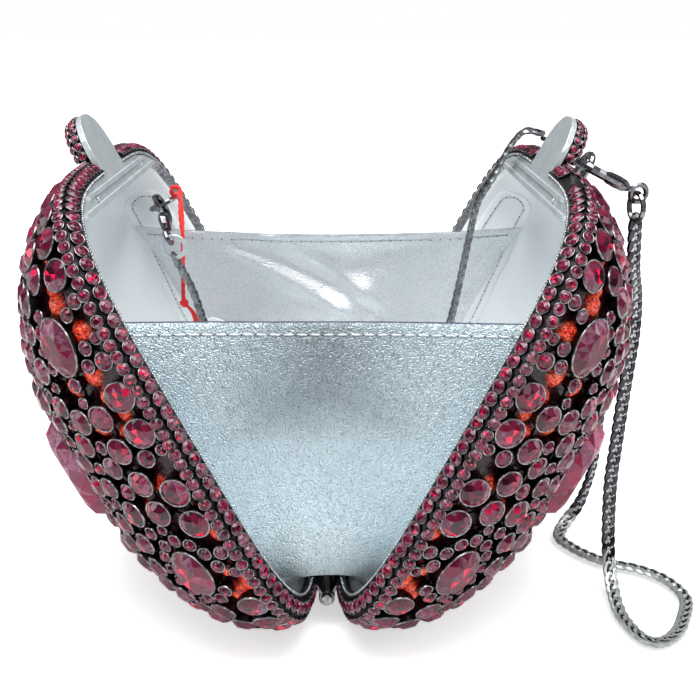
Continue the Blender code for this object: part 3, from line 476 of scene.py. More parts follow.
class Finishes:
    """Every finish of the clutch, made once."""

    def __init__(self) -> None:
        """Makes the materials."""
        self.crystal = CutCrystal().make()
        self.pale_crystal = CutCrystal("pale_cut_crystal", 1.9).make()
        self.bezel = Metal("bezel_silver", (0.34, 0.33, 0.34), (0.1, 0.085, 0.095), 0.2, 0.36, 900.0).make()
        self.bead = Metal("bead_silver", (0.52, 0.53, 0.54), (0.24, 0.24, 0.25), 0.2, 0.36, 900.0).make()
        self.cup = Metal(
            "cup_black_nickel", (0.05, 0.044, 0.048), (0.012, 0.009, 0.011), 0.3, 0.5, 700.0
        ).make()
        self.gunmetal = Metal("gunmetal", (0.3, 0.295, 0.31), (0.13, 0.125, 0.14), 0.14, 0.3, 500.0).make()
        self.chain = Metal(
            "chain_silver", (0.56, 0.6, 0.59), (0.38, 0.41, 0.41), 0.3, 0.46, 260.0, metallic=0.7
        ).make()
        # A darker copy of the chain silver for the inner stretch, painted shade.
        self.chain_shaded_silver = Metal(
            "chain_shaded_silver", (0.36, 0.37, 0.375), (0.16, 0.165, 0.17), 0.14, 0.32, 420.0, metallic=0.9
        ).make()
        # A near-black copy of the chain silver: painted dark reflection on the dark stretch and painted shade
        # between the bright links.
        self.chain_shaded_dark = Metal(
            "chain_painted_dark", (0.085, 0.075, 0.09), (0.025, 0.02, 0.028), 0.1, 0.24, 260.0
        ).make()
        self.clasp = Metal(
            "clasp_gunmetal", (0.22, 0.215, 0.23), (0.09, 0.085, 0.095), 0.1, 0.24, 500.0
        ).make()
        self.nickel = Metal(
            "plate_nickel", (0.78, 0.83, 0.85), (0.62, 0.68, 0.71), 0.28, 0.46, 120.0, 0.2, metallic=0.6
        ).make()
        self.glitter = Glitter().make()
        # The gussets are one leather: the near one is painted darker as shade, lighter low down as painted
        # light, with a painted shade patch at the top of the middle.
        self.near_gusset = Leather(
            "pebbled_leather", (0.54, 0.635, 0.685), (0.43, 0.525, 0.575), 2450.0, 2.0, 0.24, 0.7,
            crease=0.12, low=1.7, high=0.9, middle=0.54,
        ).make()
        # The far gusset is the same leather painted brighter, as painted light.
        self.far_gusset = Leather(
            "folded_leather", (0.86, 0.88, 0.9), (0.7, 0.73, 0.76), 2100.0, 1.1, 0.24, 0.52, crease=0.26
        ).make()
        # A dark line along the gussets' top edges, painted shade.
        self.edge = Leather(
            "hem_edge_shade", (0.07, 0.08, 0.13), (0.035, 0.04, 0.075), 1500.0, 0.3, 0.45, 0.0
        ).make()
        # The lining carries painted shadow in the gap at the hinge's near end.
        self.lining = Leather(
            "lining_leather", (0.96, 0.99, 1.0), (0.9, 0.95, 0.98), 1900.0, 0.2, 0.34, 0.14, gap=0.06
        ).make()
        self.seam = Yarn("seam_thread", (0.74, 0.79, 0.82), (0.58, 0.63, 0.66), 5200.0).make()
        # Dark marks beside the stitches: painted shade in the needle holes.
        self.hole = Leather("needle_hole", (0.16, 0.18, 0.2), (0.09, 0.1, 0.12), 1500.0, 0.3, 0.5, 0.0).make()
        self.string = Yarn("red_string", (1.0, 0.04, 0.035), (0.8, 0.016, 0.016), 4200.0).make()
        self.card = Card().make()


@dataclass
class MeshBuilder:
    """Gathers points and faces with a tone and a finish for each face, then makes one mesh object."""

    blocks: list[Points] = field(default_factory=list)
    faces: Faces = field(default_factory=list)
    tones: list[float] = field(default_factory=list)
    slots: list[int] = field(default_factory=list)
    count: int = 0

    def add(self, points: Points, faces: Faces, slot: int = 0, tones: list[float] | None = None) -> None:
        """Adds a block of points with its own faces.

        Args:
            points: The points, one row each.
            faces: Corner numbers within the block.
            slot: The number of the finish.
            tones: One number for each face.
        """
        base = self.count
        self.blocks.append(np.asarray(points, float).reshape(-1, 3))
        self.count += len(self.blocks[-1])
        self.faces.extend(tuple(base + i for i in face) for face in faces)
        self.slots.extend([slot] * len(faces))
        self.tones.extend(tones if tones is not None else [0.0] * len(faces))

    def tube(
        self, line: Points, radius: Points | float, sides: int = 8, slot: int = 0, closed: bool = False
    ) -> None:
        """Adds a round tube along a line, of one radius or one for each point."""
        rings = tube_rings(np.asarray(line, float), radius, sides, closed)
        self.add(rings.reshape(-1, 3), tube_faces(len(line), sides, closed), slot)

    def build(
        self, name: str, finishes: list[Material], smooth: float | None = 30.0, tone: bool = False
    ) -> Piece:
        """Makes the object.

        Args:
            name: The piece's name.
            finishes: Its materials, in the order of the slots.
            smooth: The degrees past which an edge is sharp, or None for flat facets.
            tone: Whether the mesh carries its faces' tones.

        Returns:
            The new object.
        """
        mesh = bpy.data.meshes.new(name)
        mesh.from_pydata(np.concatenate(self.blocks).tolist(), [], self.faces)
        for finish in finishes:
            mesh.materials.append(finish)
        mesh.polygons.foreach_set("material_index", np.array(self.slots, np.int32))
        if tone:
            carried = mesh.attributes.new("tone", "FLOAT", "FACE")
            carried.data.foreach_set("value", np.array(self.tones, np.float32))
        mesh.update()
        if smooth is not None:
            mesh.shade_smooth()
            mesh.set_sharp_from_angle(angle=math.radians(smooth))
        item = bpy.data.objects.new(name, mesh)
        bpy.context.scene.collection.objects.link(item)
        return item


def unit(rows: Points) -> Points:
    """Each row at length one."""
    return rows / np.maximum(np.linalg.norm(rows, axis=-1, keepdims=True), 1e-12)


def tube_rings(line: Points, radius: Points | float, sides: int, closed: bool) -> Points:
    """The rings of a tube along a line.

    Args:
        line: The points that it follows.
        radius: Its radius, or one for each point.
        sides: Corners of a ring.
        closed: Whether its ends meet.

    Returns:
        One ring of points for each point of the line.
    """
    normals, sideways = carried_frames(line, closed)
    turn = np.arange(sides) * TURN / sides
    reach = np.broadcast_to(np.asarray(radius, float), (len(line),))[:, None, None]
    return line[:, None] + reach * (
        np.cos(turn)[None, :, None] * normals[:, None] + np.sin(turn)[None, :, None] * sideways[:, None]
    )


def tube_faces(count: int, sides: int, closed: bool = False) -> Faces:
    """The faces of a tube.

    Args:
        count: Rings along it.
        sides: Corners of a ring.
        closed: Whether the last ring joins the first.

    Returns:
        The faces, with both ends filled on an open tube.
    """
    faces: Faces = []
    for i in range(count if closed else count - 1):
        a, b = i * sides, (i + 1) % count * sides
        faces.extend((a + j, a + (j + 1) % sides, b + (j + 1) % sides, b + j) for j in range(sides))
    if not closed:
        faces.append(tuple(range(sides - 1, -1, -1)))
        faces.append(tuple(range((count - 1) * sides, count * sides)))
    return faces


def grid_faces(rows: int, columns: int, wrapped: bool = False, base: int = 0) -> Faces:
    """The faces of a grid of points.

    Args:
        rows: Rows of points.
        columns: Points in a row.
        wrapped: Whether each row runs round to its first point.
        base: The first point's number.

    Returns:
        The faces.
    """
    last = columns if wrapped else columns - 1
    return [
        (base + i * columns + j, base + i * columns + (j + 1) % columns,
         base + (i + 1) * columns + (j + 1) % columns, base + (i + 1) * columns + j)
        for i in range(rows - 1)
        for j in range(last)
    ]


def sheet_faces(rows: int, columns: int, flipped: bool) -> Faces:
    """The faces of a sheet made of two grids of points and the edge between them.

    Args:
        rows: Rows of a grid.
        columns: Points in a row.
        flipped: Whether they all look the other way.

    Returns:
        The first grid's faces, the second's and the edge's, which starts along the first row.
    """
    size = rows * columns
    faces = grid_faces(rows, columns)
    faces += [tuple(reversed(face)) for face in grid_faces(rows, columns, base=size)]
    border = list(range(columns)) + [i * columns + columns - 1 for i in range(1, rows)]
    border += [(rows - 1) * columns + j for j in range(columns - 2, -1, -1)]
    border += [i * columns for i in range(rows - 2, 0, -1)]
    faces += [(a, size + a, size + b, b) for a, b in zip(border, border[1:] + border[:1])]
    return [tuple(reversed(face)) for face in faces] if flipped else faces


def carried_frames(
    line: Points, closed: bool = False, start: Points | None = None
) -> tuple[Points, Points]:
    """Directions across a line that turn with it and don't twist.

    Args:
        line: The points of the line.
        closed: Whether its ends meet.
        start: The first direction that is wished for.

    Returns:
        Two unit directions at each point, both across the line.
    """
    ahead = unit(np.roll(line, -1, 0) - np.roll(line, 1, 0) if closed else np.gradient(line, axis=0))
    seed = np.array(start if start is not None else (0.31, 0.23, 0.92), float)
    if start is None and abs(seed @ ahead[0]) > 0.9:
        seed = np.array((0.92, -0.3, 0.1))
    normals = np.zeros_like(line)
    current = seed
    for i, way in enumerate(ahead):
        current = current - way * (current @ way)
        current = current / max(np.linalg.norm(current), 1e-12)
        normals[i] = current
    return normals, np.cross(ahead, normals)


def smooth_line(points: Points, step: float, parts: int = 24) -> Points:
    """A line re-read from a smooth curve through its own points.

    Args:
        points: The points that it passes.
        step: The wished distance between the new points.
        parts: Fine steps between two given points.

    Returns:
        The new points, evenly spaced.
    """
    ends = np.vstack([2 * points[0] - points[1], points, 2 * points[-1] - points[-2]])
    share = (np.arange(parts) / parts)[:, None]
    fine = []
    for p0, p1, p2, p3 in zip(ends, ends[1:], ends[2:], ends[3:]):
        fine.append(
            p1
            + (p2 - p0) * (share / 2)
            + (2 * p0 - 5 * p1 + 4 * p2 - p3) * (share**2 / 2)
            + (3 * p1 - p0 - 3 * p2 + p3) * (share**3 / 2)
        )
    fine = np.vstack([*fine, points[-1]])
    along = travelled(fine)
    return read_at(np.linspace(0.0, along[-1], max(2, round(along[-1] / step)) + 1), along, fine)


def travelled(line: Points) -> Points:
    """The distance travelled along a line at each of its points."""
    return np.concatenate([[0.0], np.cumsum(np.linalg.norm(np.diff(line, axis=0), axis=1))])


def read_at(wanted: Points, along: Points, rows: Points) -> Points:
    """Rows of numbers, read between the places where they stand."""
    return np.stack([np.interp(wanted, along, column) for column in rows.T], axis=1)


def line_length(line: Points) -> float:
    """The length of a line of points."""
    return float(np.linalg.norm(np.diff(line, axis=0), axis=1).sum())


@dataclass(frozen=True)
class DomeForm:
    """The rounded-square dome that all layers of a shell follow, each at its own inset."""

    side: Side
    rim_width: float = 0.138
    rim_height: float = 0.13
    rim_bottom: float = 0.0032
    dome_depth: float = 0.046
    dome_sag: float = 0.0077
    rim_squareness: float = 4.4
    crown_squareness: float = 2.9
    open_angle: float = math.radians(27.0)
    meeting_gap: float = 0.0003
    hinge_height: float = 0.0073542921

    @property
    def centre(self) -> float:
        """The height of the mouth's middle above the hinge."""
        return self.rim_bottom + self.rim_height / 2

    @property
    def out(self) -> Points:
        """The direction straight out of the mouth's plane."""
        return np.array((self.side.value * math.cos(self.open_angle), 0.0, -math.sin(self.open_angle)))

    @property
    def up(self) -> Points:
        """The direction up the mouth from the hinge."""
        return np.array((self.side.value * math.sin(self.open_angle), 0.0, math.cos(self.open_angle)))

    def opened(self, y: object, height: object, depth: object) -> Points:
        """Places of the open shell.

        Args:
            y: Along the hinge.
            height: Up the mouth from the hinge.
            depth: Out of the mouth's plane.

        Returns:
            One point for each set of values.
        """
        y, height, depth = np.broadcast_arrays(*(np.asarray(v, float) for v in (y, height, depth)))
        place = height[..., None] * self.up + (depth[..., None] + self.meeting_gap / 2) * self.out
        place[..., 1] += y
        place[..., 2] += self.hinge_height
        return place

    def point(self, around: object, rise: object, inset: object = 0.0) -> Points:
        """Places on a layer of the open dome, as shut() takes them."""
        depth, y, height = np.moveaxis(self.shut(around, rise, inset), -1, 0)
        return self.opened(y, height, depth)

    def shut(self, around: object, rise: object, inset: object = 0.0) -> Points:
        """Places on a layer of the shut dome.

        Args:
            around: Angle round the mouth from its top.
            rise: Angle up the dome from the mouth.
            inset: Distance inside the metal face.

        Returns:
            The depth out of the mouth, place along the hinge and height of each.
        """
        around, rise = np.asarray(around, float), np.asarray(rise, float)
        power = 2.0 / (self.rim_squareness + (self.crown_squareness - self.rim_squareness) * np.sin(rise))
        sine, cosine = np.sin(around), np.cos(around)
        spread = np.cos(rise)
        y = (self.rim_width / 2 - inset) * spread * np.sign(sine) * np.abs(sine) ** power
        high = (self.rim_height / 2 - inset) * spread * np.sign(cosine) * np.abs(cosine) ** power
        depth = (self.dome_depth - inset) * np.sin(rise)
        height = self.centre + high - self.dome_sag * np.sin(rise)
        return np.stack(np.broadcast_arrays(depth, y, height), axis=-1)

    def rise_at(self, depth: float, inset: float = 0.0) -> float:
        """How far up the dome a depth lies, as an angle."""
        return math.asin(depth / (self.dome_depth - inset))

    def half_width(self, height: object, depth: object, inset: float = 0.0) -> Points:
        """Half of a layer's width along the hinge.

        Args:
            height: Up the mouth from the hinge.
            depth: Out of the mouth's plane.
            inset: Distance inside the metal face.

        Returns:
            One number for each pair.
        """
        height, depth = np.asarray(height, float), np.asarray(depth, float)
        share = np.clip(depth / (self.dome_depth - inset), 0.0, 0.9999)
        squareness = self.rim_squareness + (self.crown_squareness - self.rim_squareness) * share
        spread = np.sqrt(1.0 - share * share)
        high = np.abs(height - self.centre + self.dome_sag * share) / ((self.rim_height / 2 - inset) * spread)
        rest = np.clip(1.0 - np.clip(high, 0.0, 1.0) ** squareness, 0.0, 1.0)
        return (self.rim_width / 2 - inset) * spread * rest ** (1.0 / squareness)

    def holds(self, spots: Points) -> Points:
        """Which places of the open shell lie inside the dome's metal face.

        Args:
            spots: The places.

        Returns:
            True or false for each.
        """
        offset = spots - np.array((0.0, 0.0, self.hinge_height))
        height, depth = offset @ self.up, offset @ self.out - self.meeting_gap / 2
        half = self.half_width(height, np.maximum(depth, 0.0))
        return (np.abs(offset[:, 1]) < half) & (depth < self.dome_depth)

    def lowered(self, spots: Points, normal: Points, reach: float) -> Points:
        """Places moved down along a direction until they lie inside the dome.

        Args:
            spots: The places.
            normal: The direction that they are moved against.
            reach: The farthest that they move.

        Returns:
            The moved places.
        """
        spots = spots.copy()
        steps = 24
        for _ in range(steps):
            out = ~self.holds(spots)
            spots[out] -= normal * (reach / steps)
        return spots

    def frames(self, around: Points, rise: Points, inset: float = 0.0) -> Frame:
        """Places on the dome with the directions of its surface.

        Args:
            around: Angles round the mouth.
            rise: Angles up the dome.
            inset: Distance inside the metal face.

        Returns:
            The points, their outward normals and two directions along the surface.
        """
        turn = HALF_DEGREE
        here = self.point(around, rise, inset)
        along = unit(self.point(around + turn, rise, inset) - self.point(around - turn, rise, inset))
        over = self.point(around, rise + turn, inset) - self.point(around, rise - turn, inset)
        normal = unit(np.cross(along, over))
        inward = ((here - self.opened(0.0, self.centre, 0.0)) * normal).sum(-1, keepdims=True) < 0
        normal = np.where(inward, -normal, normal)
        return here, normal, along, np.cross(normal, along)

    def even_angles(self, count: int) -> Points:
        """Angles round the mouth whose points are evenly spaced along its outline.

        Args:
            count: How many.

        Returns:
            The angles.
        """
        share = np.linspace(0.0, 1.0, 240, endpoint=False)
        quarter = share**3 / (share**3 + (1 - share) ** 3) * math.pi / 2
        fine = np.concatenate([quarter + i * math.pi / 2 for i in range(4)] + [[TURN]])
        along = travelled(self.point(fine, 0.0))
        return np.interp(np.arange(count) * along[-1] / count, along, fine)

    def ring(
        self, build: MeshBuilder, section: list[tuple[float, float]], angles: Points, closed: bool,
        slot: int = 0,
    ) -> None:
        """Adds a ring round the mouth, its section given as depths and insets."""
        loops = [self.point(angles, self.rise_at(depth, inset), inset) for depth, inset in section]
        build.add(np.stack(loops, axis=1), tube_faces(len(angles), len(section), closed), slot)

    def arc(self, start: float, stop: float, count: int) -> Points:
        """Evenly spaced angles of part of the mouth's outline.

        Args:
            start: The first angle.
            stop: The last one.
            count: How many there are.

        Returns:
            The angles.
        """
        fine = self.even_angles(720)
        fine = np.concatenate([fine, fine + TURN])
        inside = fine[(fine > start + 1e-6) & (fine < stop - 1e-6)]
        picked = inside[np.linspace(0, len(inside) - 1, max(2, count - 2)).astype(int)]
        return np.unique(np.concatenate([[start], picked, [stop]]))

    def angle_at(self, y: float, top: bool) -> float:
        """The angle, on the far half, where the mouth's top or bottom crosses a place along the hinge."""
        turn = math.asin(min(1.0, (abs(y) / (self.rim_width / 2)) ** (self.rim_squareness / 2)))
        return turn if top else math.pi - turn


@dataclass
class ShellPart:
    """A sub-assembly of one shell."""

    side: Side
    finishes: Finishes

    def __post_init__(self) -> None:
        """Takes the dome's form."""
        self.form = DomeForm(self.side)

    def mount(self, piece: Piece, slot: str, node: str = "") -> None:
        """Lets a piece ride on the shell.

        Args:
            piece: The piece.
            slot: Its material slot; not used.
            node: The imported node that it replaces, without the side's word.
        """
        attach(piece, self.side.body)
        if node:
            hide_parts(f"{self.side.word}_{node}")


@dataclass(frozen=True)
class Stone:
    """One stone of a shell: its place on the dome, its size and its turn."""

    around: float
    rise: float
    length: float
    width: float
    height: float
    turn: float

    @property
    def is_oval(self) -> bool:
        """Whether it is longer than wide."""
        return self.length > self.width * OVAL_RATIO


@dataclass(frozen=True)
class StoneCutter:
    """Cuts faceted stones and spins their cups."""

    table_share: float = 0.5
    middle_share: float = 0.76
    girdle_height: float = 0.52
    bezel_out: float = 0.00034
    bezel_in: float = 0.00012
    cup_sink: float = 0.0013
    tone_middle: float = 0.5
    tone_pull: float = 0.0
    middle_height: float = 0.8
    table_tones: tuple[float, ...] = (0.05, 0.15, 0.33, 0.5, 0.8, 0.96)
    table_odds: tuple[float, ...] = (0.2, 0.22, 0.22, 0.12, 0.14, 0.1)

    def cut(self, folds: int, rng: np.random.Generator) -> tuple[Points, Faces, list[float]]:
        """A brilliant-cut crown for a stone of radius one and height one.

        Args:
            folds: How many main facets it has.
            rng: The source of its tones.

        Returns:
            Its points, faces and tones.
        """
        step = TURN / folds
        girdle = 2 * folds
        points: list[Spot] = []
        for count, reach, offset, height, pitch in (
            (folds, self.table_share, 0.0, 1.0, step),
            (folds, self.middle_share, 0.5, self.middle_height, step),
            (girdle, 1.0, 0.0, self.girdle_height, step / 2),
        ):
            turns = [(i + offset) * pitch for i in range(count)]
            points += [(reach * math.cos(turn), reach * math.sin(turn), height) for turn in turns]
        centre = len(points)
        points.append((0.0, 0.0, 1.0))
        faces: Faces = []
        tones: list[float] = []
        # Painted light: facets that look towards a random bright side take lighter tones.
        light = rng.uniform(0, folds)
        spread = rng.uniform(0.75, 1.2)

        def facing(where: float) -> float:
            """How nearly a facet looks towards the stone's bright side, from -1 to 1."""
            return math.cos((where - light) * step)

        for i in range(folds):
            j = (i + 1) % folds
            faces.append((centre, i, j))
            tones.append(float(rng.choice(self.table_tones, p=self.table_odds)))
            faces.append((j, i, folds + i))
            tones.append(0.42 + 0.22 * spread * facing(i + 0.5) + rng.normal(0, 0.1))
            faces.append((i, folds + (i - 1) % folds, girdle + 2 * i, folds + i))
            tones.append(0.48 + 0.26 * spread * facing(i) + rng.normal(0, 0.13))
            faces.append((folds + i, girdle + 2 * i, girdle + 2 * i + 1))
            tones.append(0.36 + 0.22 * facing(i + 0.25) + rng.normal(0, 0.12))
            faces.append((folds + i, girdle + 2 * i + 1, girdle + (2 * i + 2) % girdle))
            tones.append(0.36 + 0.22 * facing(i + 0.75) + rng.normal(0, 0.12))
        tones = [tone + (self.tone_middle - tone) * self.tone_pull for tone in tones]
        return np.array(points), faces, [min(0.99, max(0.01, tone)) for tone in tones]

    def stone(
        self, build: MeshBuilder, frame: Frame, size: Spot, turn: float, folds: int, rng: np.random.Generator,
        slot: int = 0,
    ) -> None:
        """Adds one stone.

        Args:
            build: The mesh that takes it.
            frame: Its foot, normal and two directions along the surface.
            size: Its length, width and height.
            turn: How far its facets are turned.
            folds: How many main facets it has.
            rng: The source of its tones.
            slot: The number of the finish.
        """
        here, normal, along, over = frame
        points, faces, tones = self.cut(folds, rng)
        cosine, sine = math.cos(turn), math.sin(turn)
        if size[0] > size[1] * OVAL_RATIO:
            cosine, sine = 1.0, 0.0
        u = (points[:, 0] * cosine - points[:, 1] * sine) * size[0] / 2
        v = (points[:, 0] * sine + points[:, 1] * cosine) * size[1] / 2
        spots = here + np.outer(u, along) + np.outer(v, over) + np.outer(points[:, 2] * size[2], normal)
        build.add(spots, faces, slot, tones)

    def cup(
        self, build: MeshBuilder, frame: Frame, size: Spot, sides: int, form: DomeForm | None = None
    ) -> None:
        """Adds one stone's cup: a dark wall with a bright rolled lip.

        Args:
            build: The mesh that takes it.
            frame: The stone's foot, normal and two directions along the surface.
            size: The stone's length, width and height.
            sides: Corners round the cup.
            form: The dome that the cup's foot is lowered onto, for a long stone.
        """
        here, normal, along, over = frame
        turn = np.arange(sides) * TURN / sides
        lip = self.girdle_height * size[2]
        profile = (
            (-self.bezel_in, -self.cup_sink),
            (self.bezel_out * 0.6, 0.0),
            (self.bezel_out, lip - self.bezel_out * 0.6),
            (self.bezel_out * 0.75, lip + self.bezel_in * 0.6),
            (self.bezel_out * 0.2, lip + self.bezel_in * 1.1),
            (-self.bezel_in, lip + self.bezel_in * 0.6),
            (-self.bezel_in * 1.4, lip - self.bezel_in),
        )
        rings = []
        for grow, lift in profile:
            u = (size[0] / 2 + grow) * np.cos(turn)
            v = (size[1] / 2 + grow) * np.sin(turn)
            rings.append(here + np.outer(u, along) + np.outer(v, over) + normal * lift)
        if form is not None:
            rings[1] = form.lowered(rings[1], normal, size[0] / 3)
            rings[0] = rings[1] - normal * self.cup_sink
        faces = [(j, (j + 1) % sides, sides + (j + 1) % sides, sides + j) for j in range(sides)]
        for i, (below, above) in enumerate(zip(rings, rings[1:])):
            build.add(np.concatenate([below, above]), faces, 0 if i >= 2 else 1)


class Ground:
    """The places of a dome that a stone can stand on, with the free distance round each."""

    def __init__(self, form: DomeForm, count: int) -> None:
        """Spreads the places evenly over the dome.

        Args:
            form: The dome.
            count: How many places there are.
        """
        index = np.arange(count)
        self.rises = np.arcsin((index + 0.5) / count)
        self.arounds = (index * (math.pi * (3.0 - math.sqrt(5.0)))) % TURN
        self.spots = form.shut(self.arounds, self.rises)
        self.depth = self.spots[:, 0]
        self.free = np.full(count, np.inf)

    def cover(self, spot: Points, reach: float) -> None:
        """Marks the places within a reach of a spot as taken."""
        np.minimum(self.free, np.linalg.norm(self.spots - spot, axis=1) - reach, out=self.free)

    def tightest(self, allowed: Points, chance: np.random.Generator, tries: int) -> int | None:
        """Draws some of the allowed places and picks the one with the least room round it.

        Args:
            allowed: Which places are allowed.
            chance: What draws them.
            tries: How many are drawn.

        Returns:
            The place's number, or None where none is allowed.
        """
        numbers = np.flatnonzero(allowed)
        if not len(numbers):
            return None
        drawn = numbers[chance.integers(0, len(numbers), tries)]
        return int(drawn[np.argmin(self.free[drawn])])

    def set_round(self, pick: int, size: float, height: float, turn: float, margin: float) -> Stone:
        """Sets a round stone on a place and marks the ground that it takes, with a margin round it."""
        self.cover(self.spots[pick], size / 2 + margin)
        return Stone(float(self.arounds[pick]), float(self.rises[pick]), size, size, height, turn)

    def nearest(self, spot: Points) -> int:
        """The place nearest to a spot."""
        return int(np.argmin(np.linalg.norm(self.spots - spot, axis=1)))


@dataclass(frozen=True)
class StoneLayout:
    """Lays a shell's stones: the main ones as on the solid dome, then rings of small ones and fill."""

    crown: Spot = (0.034, 0.024, 0.0045)
    slab: Spot = (0.03, 0.017, 0.0048)
    slab_places: tuple[tuple[float, float], ...] = ((272, 56), (88, 56))
    oval: Spot = (0.0145, 0.0105, 0.0036)
    oval_places: tuple[tuple[float, float], ...] = (
        (291, 21), (256, 22), (69, 21), (104, 22), (0, 44), (180, 47), (180, 20),
    )
    large: float = 0.0074
    second: float = 0.0068
    medium: float = 0.0062
    large_count: int = 26
    medium_count: int = 31
    rise: float = 0.0029
    margin: float = 0.00046
    spacing: float = 0.00016
    row_spacing: float = 0.0004
    belt: float = 0.0042
    first_depth: float = 0.0088
    second_depth: float = 0.016
    row_band: float = 0.0004
    tries: int = 24
    fill: tuple[tuple[float, int], ...] = (
        (0.0066, 60), (0.0058, 60), (0.005, 90), (0.0042, 200), (0.0034, 400), (0.0026, 400),
    )
    fill_tries: int = 60
    fill_margin: float = 0.8
    edge_gap: float = 0.0003
    accent: float = 0.0033
    start_depth: float = 0.0049
    candidates: int = 26000
    fine_candidates: int = 70000
    seed: int = 7

    def low_rise(self, size: float) -> float:
        """The height of a small stone, the lower the smaller it is."""
        return self.rise * (0.45 + 0.55 * size / self.large)

    def ends(self, form: DomeForm, around: float, rise: float) -> tuple[Points, Points]:
        """A long stone's place and the direction of its length, on the shut dome."""
        way = form.shut(around + HALF_DEGREE, rise) - form.shut(around - HALF_DEGREE, rise)
        return form.shut(around, rise), way / np.linalg.norm(way)

    def long_stones(self) -> list[Stone]:
        """The crown, the slabs and the ovals.

        Returns:
            The stones.
        """
        places = [(0.0, math.pi / 2 - HALF_DEGREE, self.crown)]
        places += [(math.radians(a), math.radians(r), self.slab) for a, r in self.slab_places]
        places += [(math.radians(a), math.radians(r), self.oval) for a, r in self.oval_places]
        return [Stone(around, rise, *size, 0.0) for around, rise, size in places]

    def main_stones(self, form: DomeForm) -> list[Stone]:
        """Lays the stones that the solid dome carries too.

        Args:
            form: The dome that they stand on.

        Returns:
            The stones.
        """
        stones = self.long_stones()
        ground = Ground(form, self.candidates)
        for stone in stones:
            here, along = self.ends(form, stone.around, stone.rise)
            for share in (-1.0, 0.0, 1.0):
                spot = here + along * (share * (stone.length - stone.width) / 2)
                ground.cover(spot, stone.width / 2 + self.margin + self.belt)

        for size, level in ((self.large, self.first_depth), (self.second, self.second_depth)):
            band = np.abs(ground.depth - level) < self.row_band
            while True:
                allowed = np.flatnonzero(band & (ground.free > size / 2 + self.margin + self.row_spacing))
                if not len(allowed):
                    break
                pick = int(allowed[np.argmin(ground.arounds[allowed])])
                stones.append(ground.set_round(pick, size, self.rise, (pick * SPIN_STEP) % SPIN, self.margin))
        chance = np.random.default_rng(self.seed)
        for size, count in ((self.large, self.large_count), (self.medium, self.medium_count)):
            for _ in range(count):
                free = ground.free > size / 2 + self.margin + self.spacing
                pick = ground.tightest(free & (ground.depth > self.second_depth), chance, self.tries)
                if pick is None:
                    break
                stones.append(ground.set_round(pick, size, self.rise, (pick * SPIN_STEP) % SPIN, self.margin))
        return stones

    def cover_long(self, form: DomeForm, ground: Ground, stone: Stone) -> None:
        """Marks the ground under one long stone's own outline as taken.

        Args:
            form: The dome that it stands on.
            ground: The dome's places.
            stone: The stone.
        """
        here, along = self.ends(form, stone.around, stone.rise)
        offset = ground.spots - here
        u = offset @ along
        v = np.sqrt(np.maximum((offset**2).sum(axis=1) - u**2, 0.0))
        away = np.hypot(u, v)
        a, b = stone.length / 2, stone.width / 2
        outline = a * b * away / np.maximum(np.hypot(b * u, a * v), 1e-9)
        np.minimum(ground.free, away - outline - self.margin, out=ground.free)

    def lay(self, form: DomeForm) -> list[Stone]:
        """Lays every stone of one shell.

        Args:
            form: The dome that they stand on.

        Returns:
            The stones.
        """
        stones = self.main_stones(form)
        ground = Ground(form, self.fine_candidates)
        for stone in stones:
            if stone.is_oval:
                self.cover_long(form, ground, stone)
            else:
                ground.cover(form.shut(stone.around, stone.rise), stone.length / 2 + self.margin)
        chance = np.random.default_rng(self.seed + 1)

        room = self.margin * self.fill_margin
        for stone in [stone for stone in stones if stone.is_oval]:
            here, along = self.ends(form, stone.around, stone.rise)
            above = form.shut(stone.around, stone.rise + HALF_DEGREE)
            across = above - form.shut(stone.around, stone.rise - HALF_DEGREE)
            across = across - along * (across @ along)
            across = across / np.linalg.norm(across)
            out = self.accent / 2 + 2 * self.margin + self.spacing
            a, b = stone.length / 2 + out, stone.width / 2 + out
            ring = math.pi * (3 * (a + b) - math.sqrt((3 * a + b) * (a + 3 * b)))
            count = int(ring / (self.accent + 1.7 * self.margin + 0.0001))
            fine = np.linspace(0.0, TURN, 721)
            gone = travelled(np.stack([a * np.cos(fine), b * np.sin(fine)], axis=1))
            for turn in np.interp(np.arange(count) * gone[-1] / count, gone, fine):
                pick = ground.nearest(here + along * a * math.cos(turn) + across * b * math.sin(turn))
                inside = ground.depth[pick] > self.start_depth + self.accent / 2
                if inside and ground.free[pick] > self.accent / 2 + self.margin * 0.2:
                    height = self.low_rise(self.accent)
                    stones.append(ground.set_round(pick, self.accent, height, chance.uniform(0, SPIN), room))
        for size, count in self.fill:
            for _ in range(count):
                free = ground.free > size / 2 + room + self.spacing
                deep = ground.depth > self.start_depth + size / 2 + self.edge_gap
                pick = ground.tightest(free & deep, chance, self.fill_tries)
                if pick is None:
                    break
                height = self.low_rise(size)
                stones.append(ground.set_round(pick, size, height, chance.uniform(0, SPIN), room))
        return stones


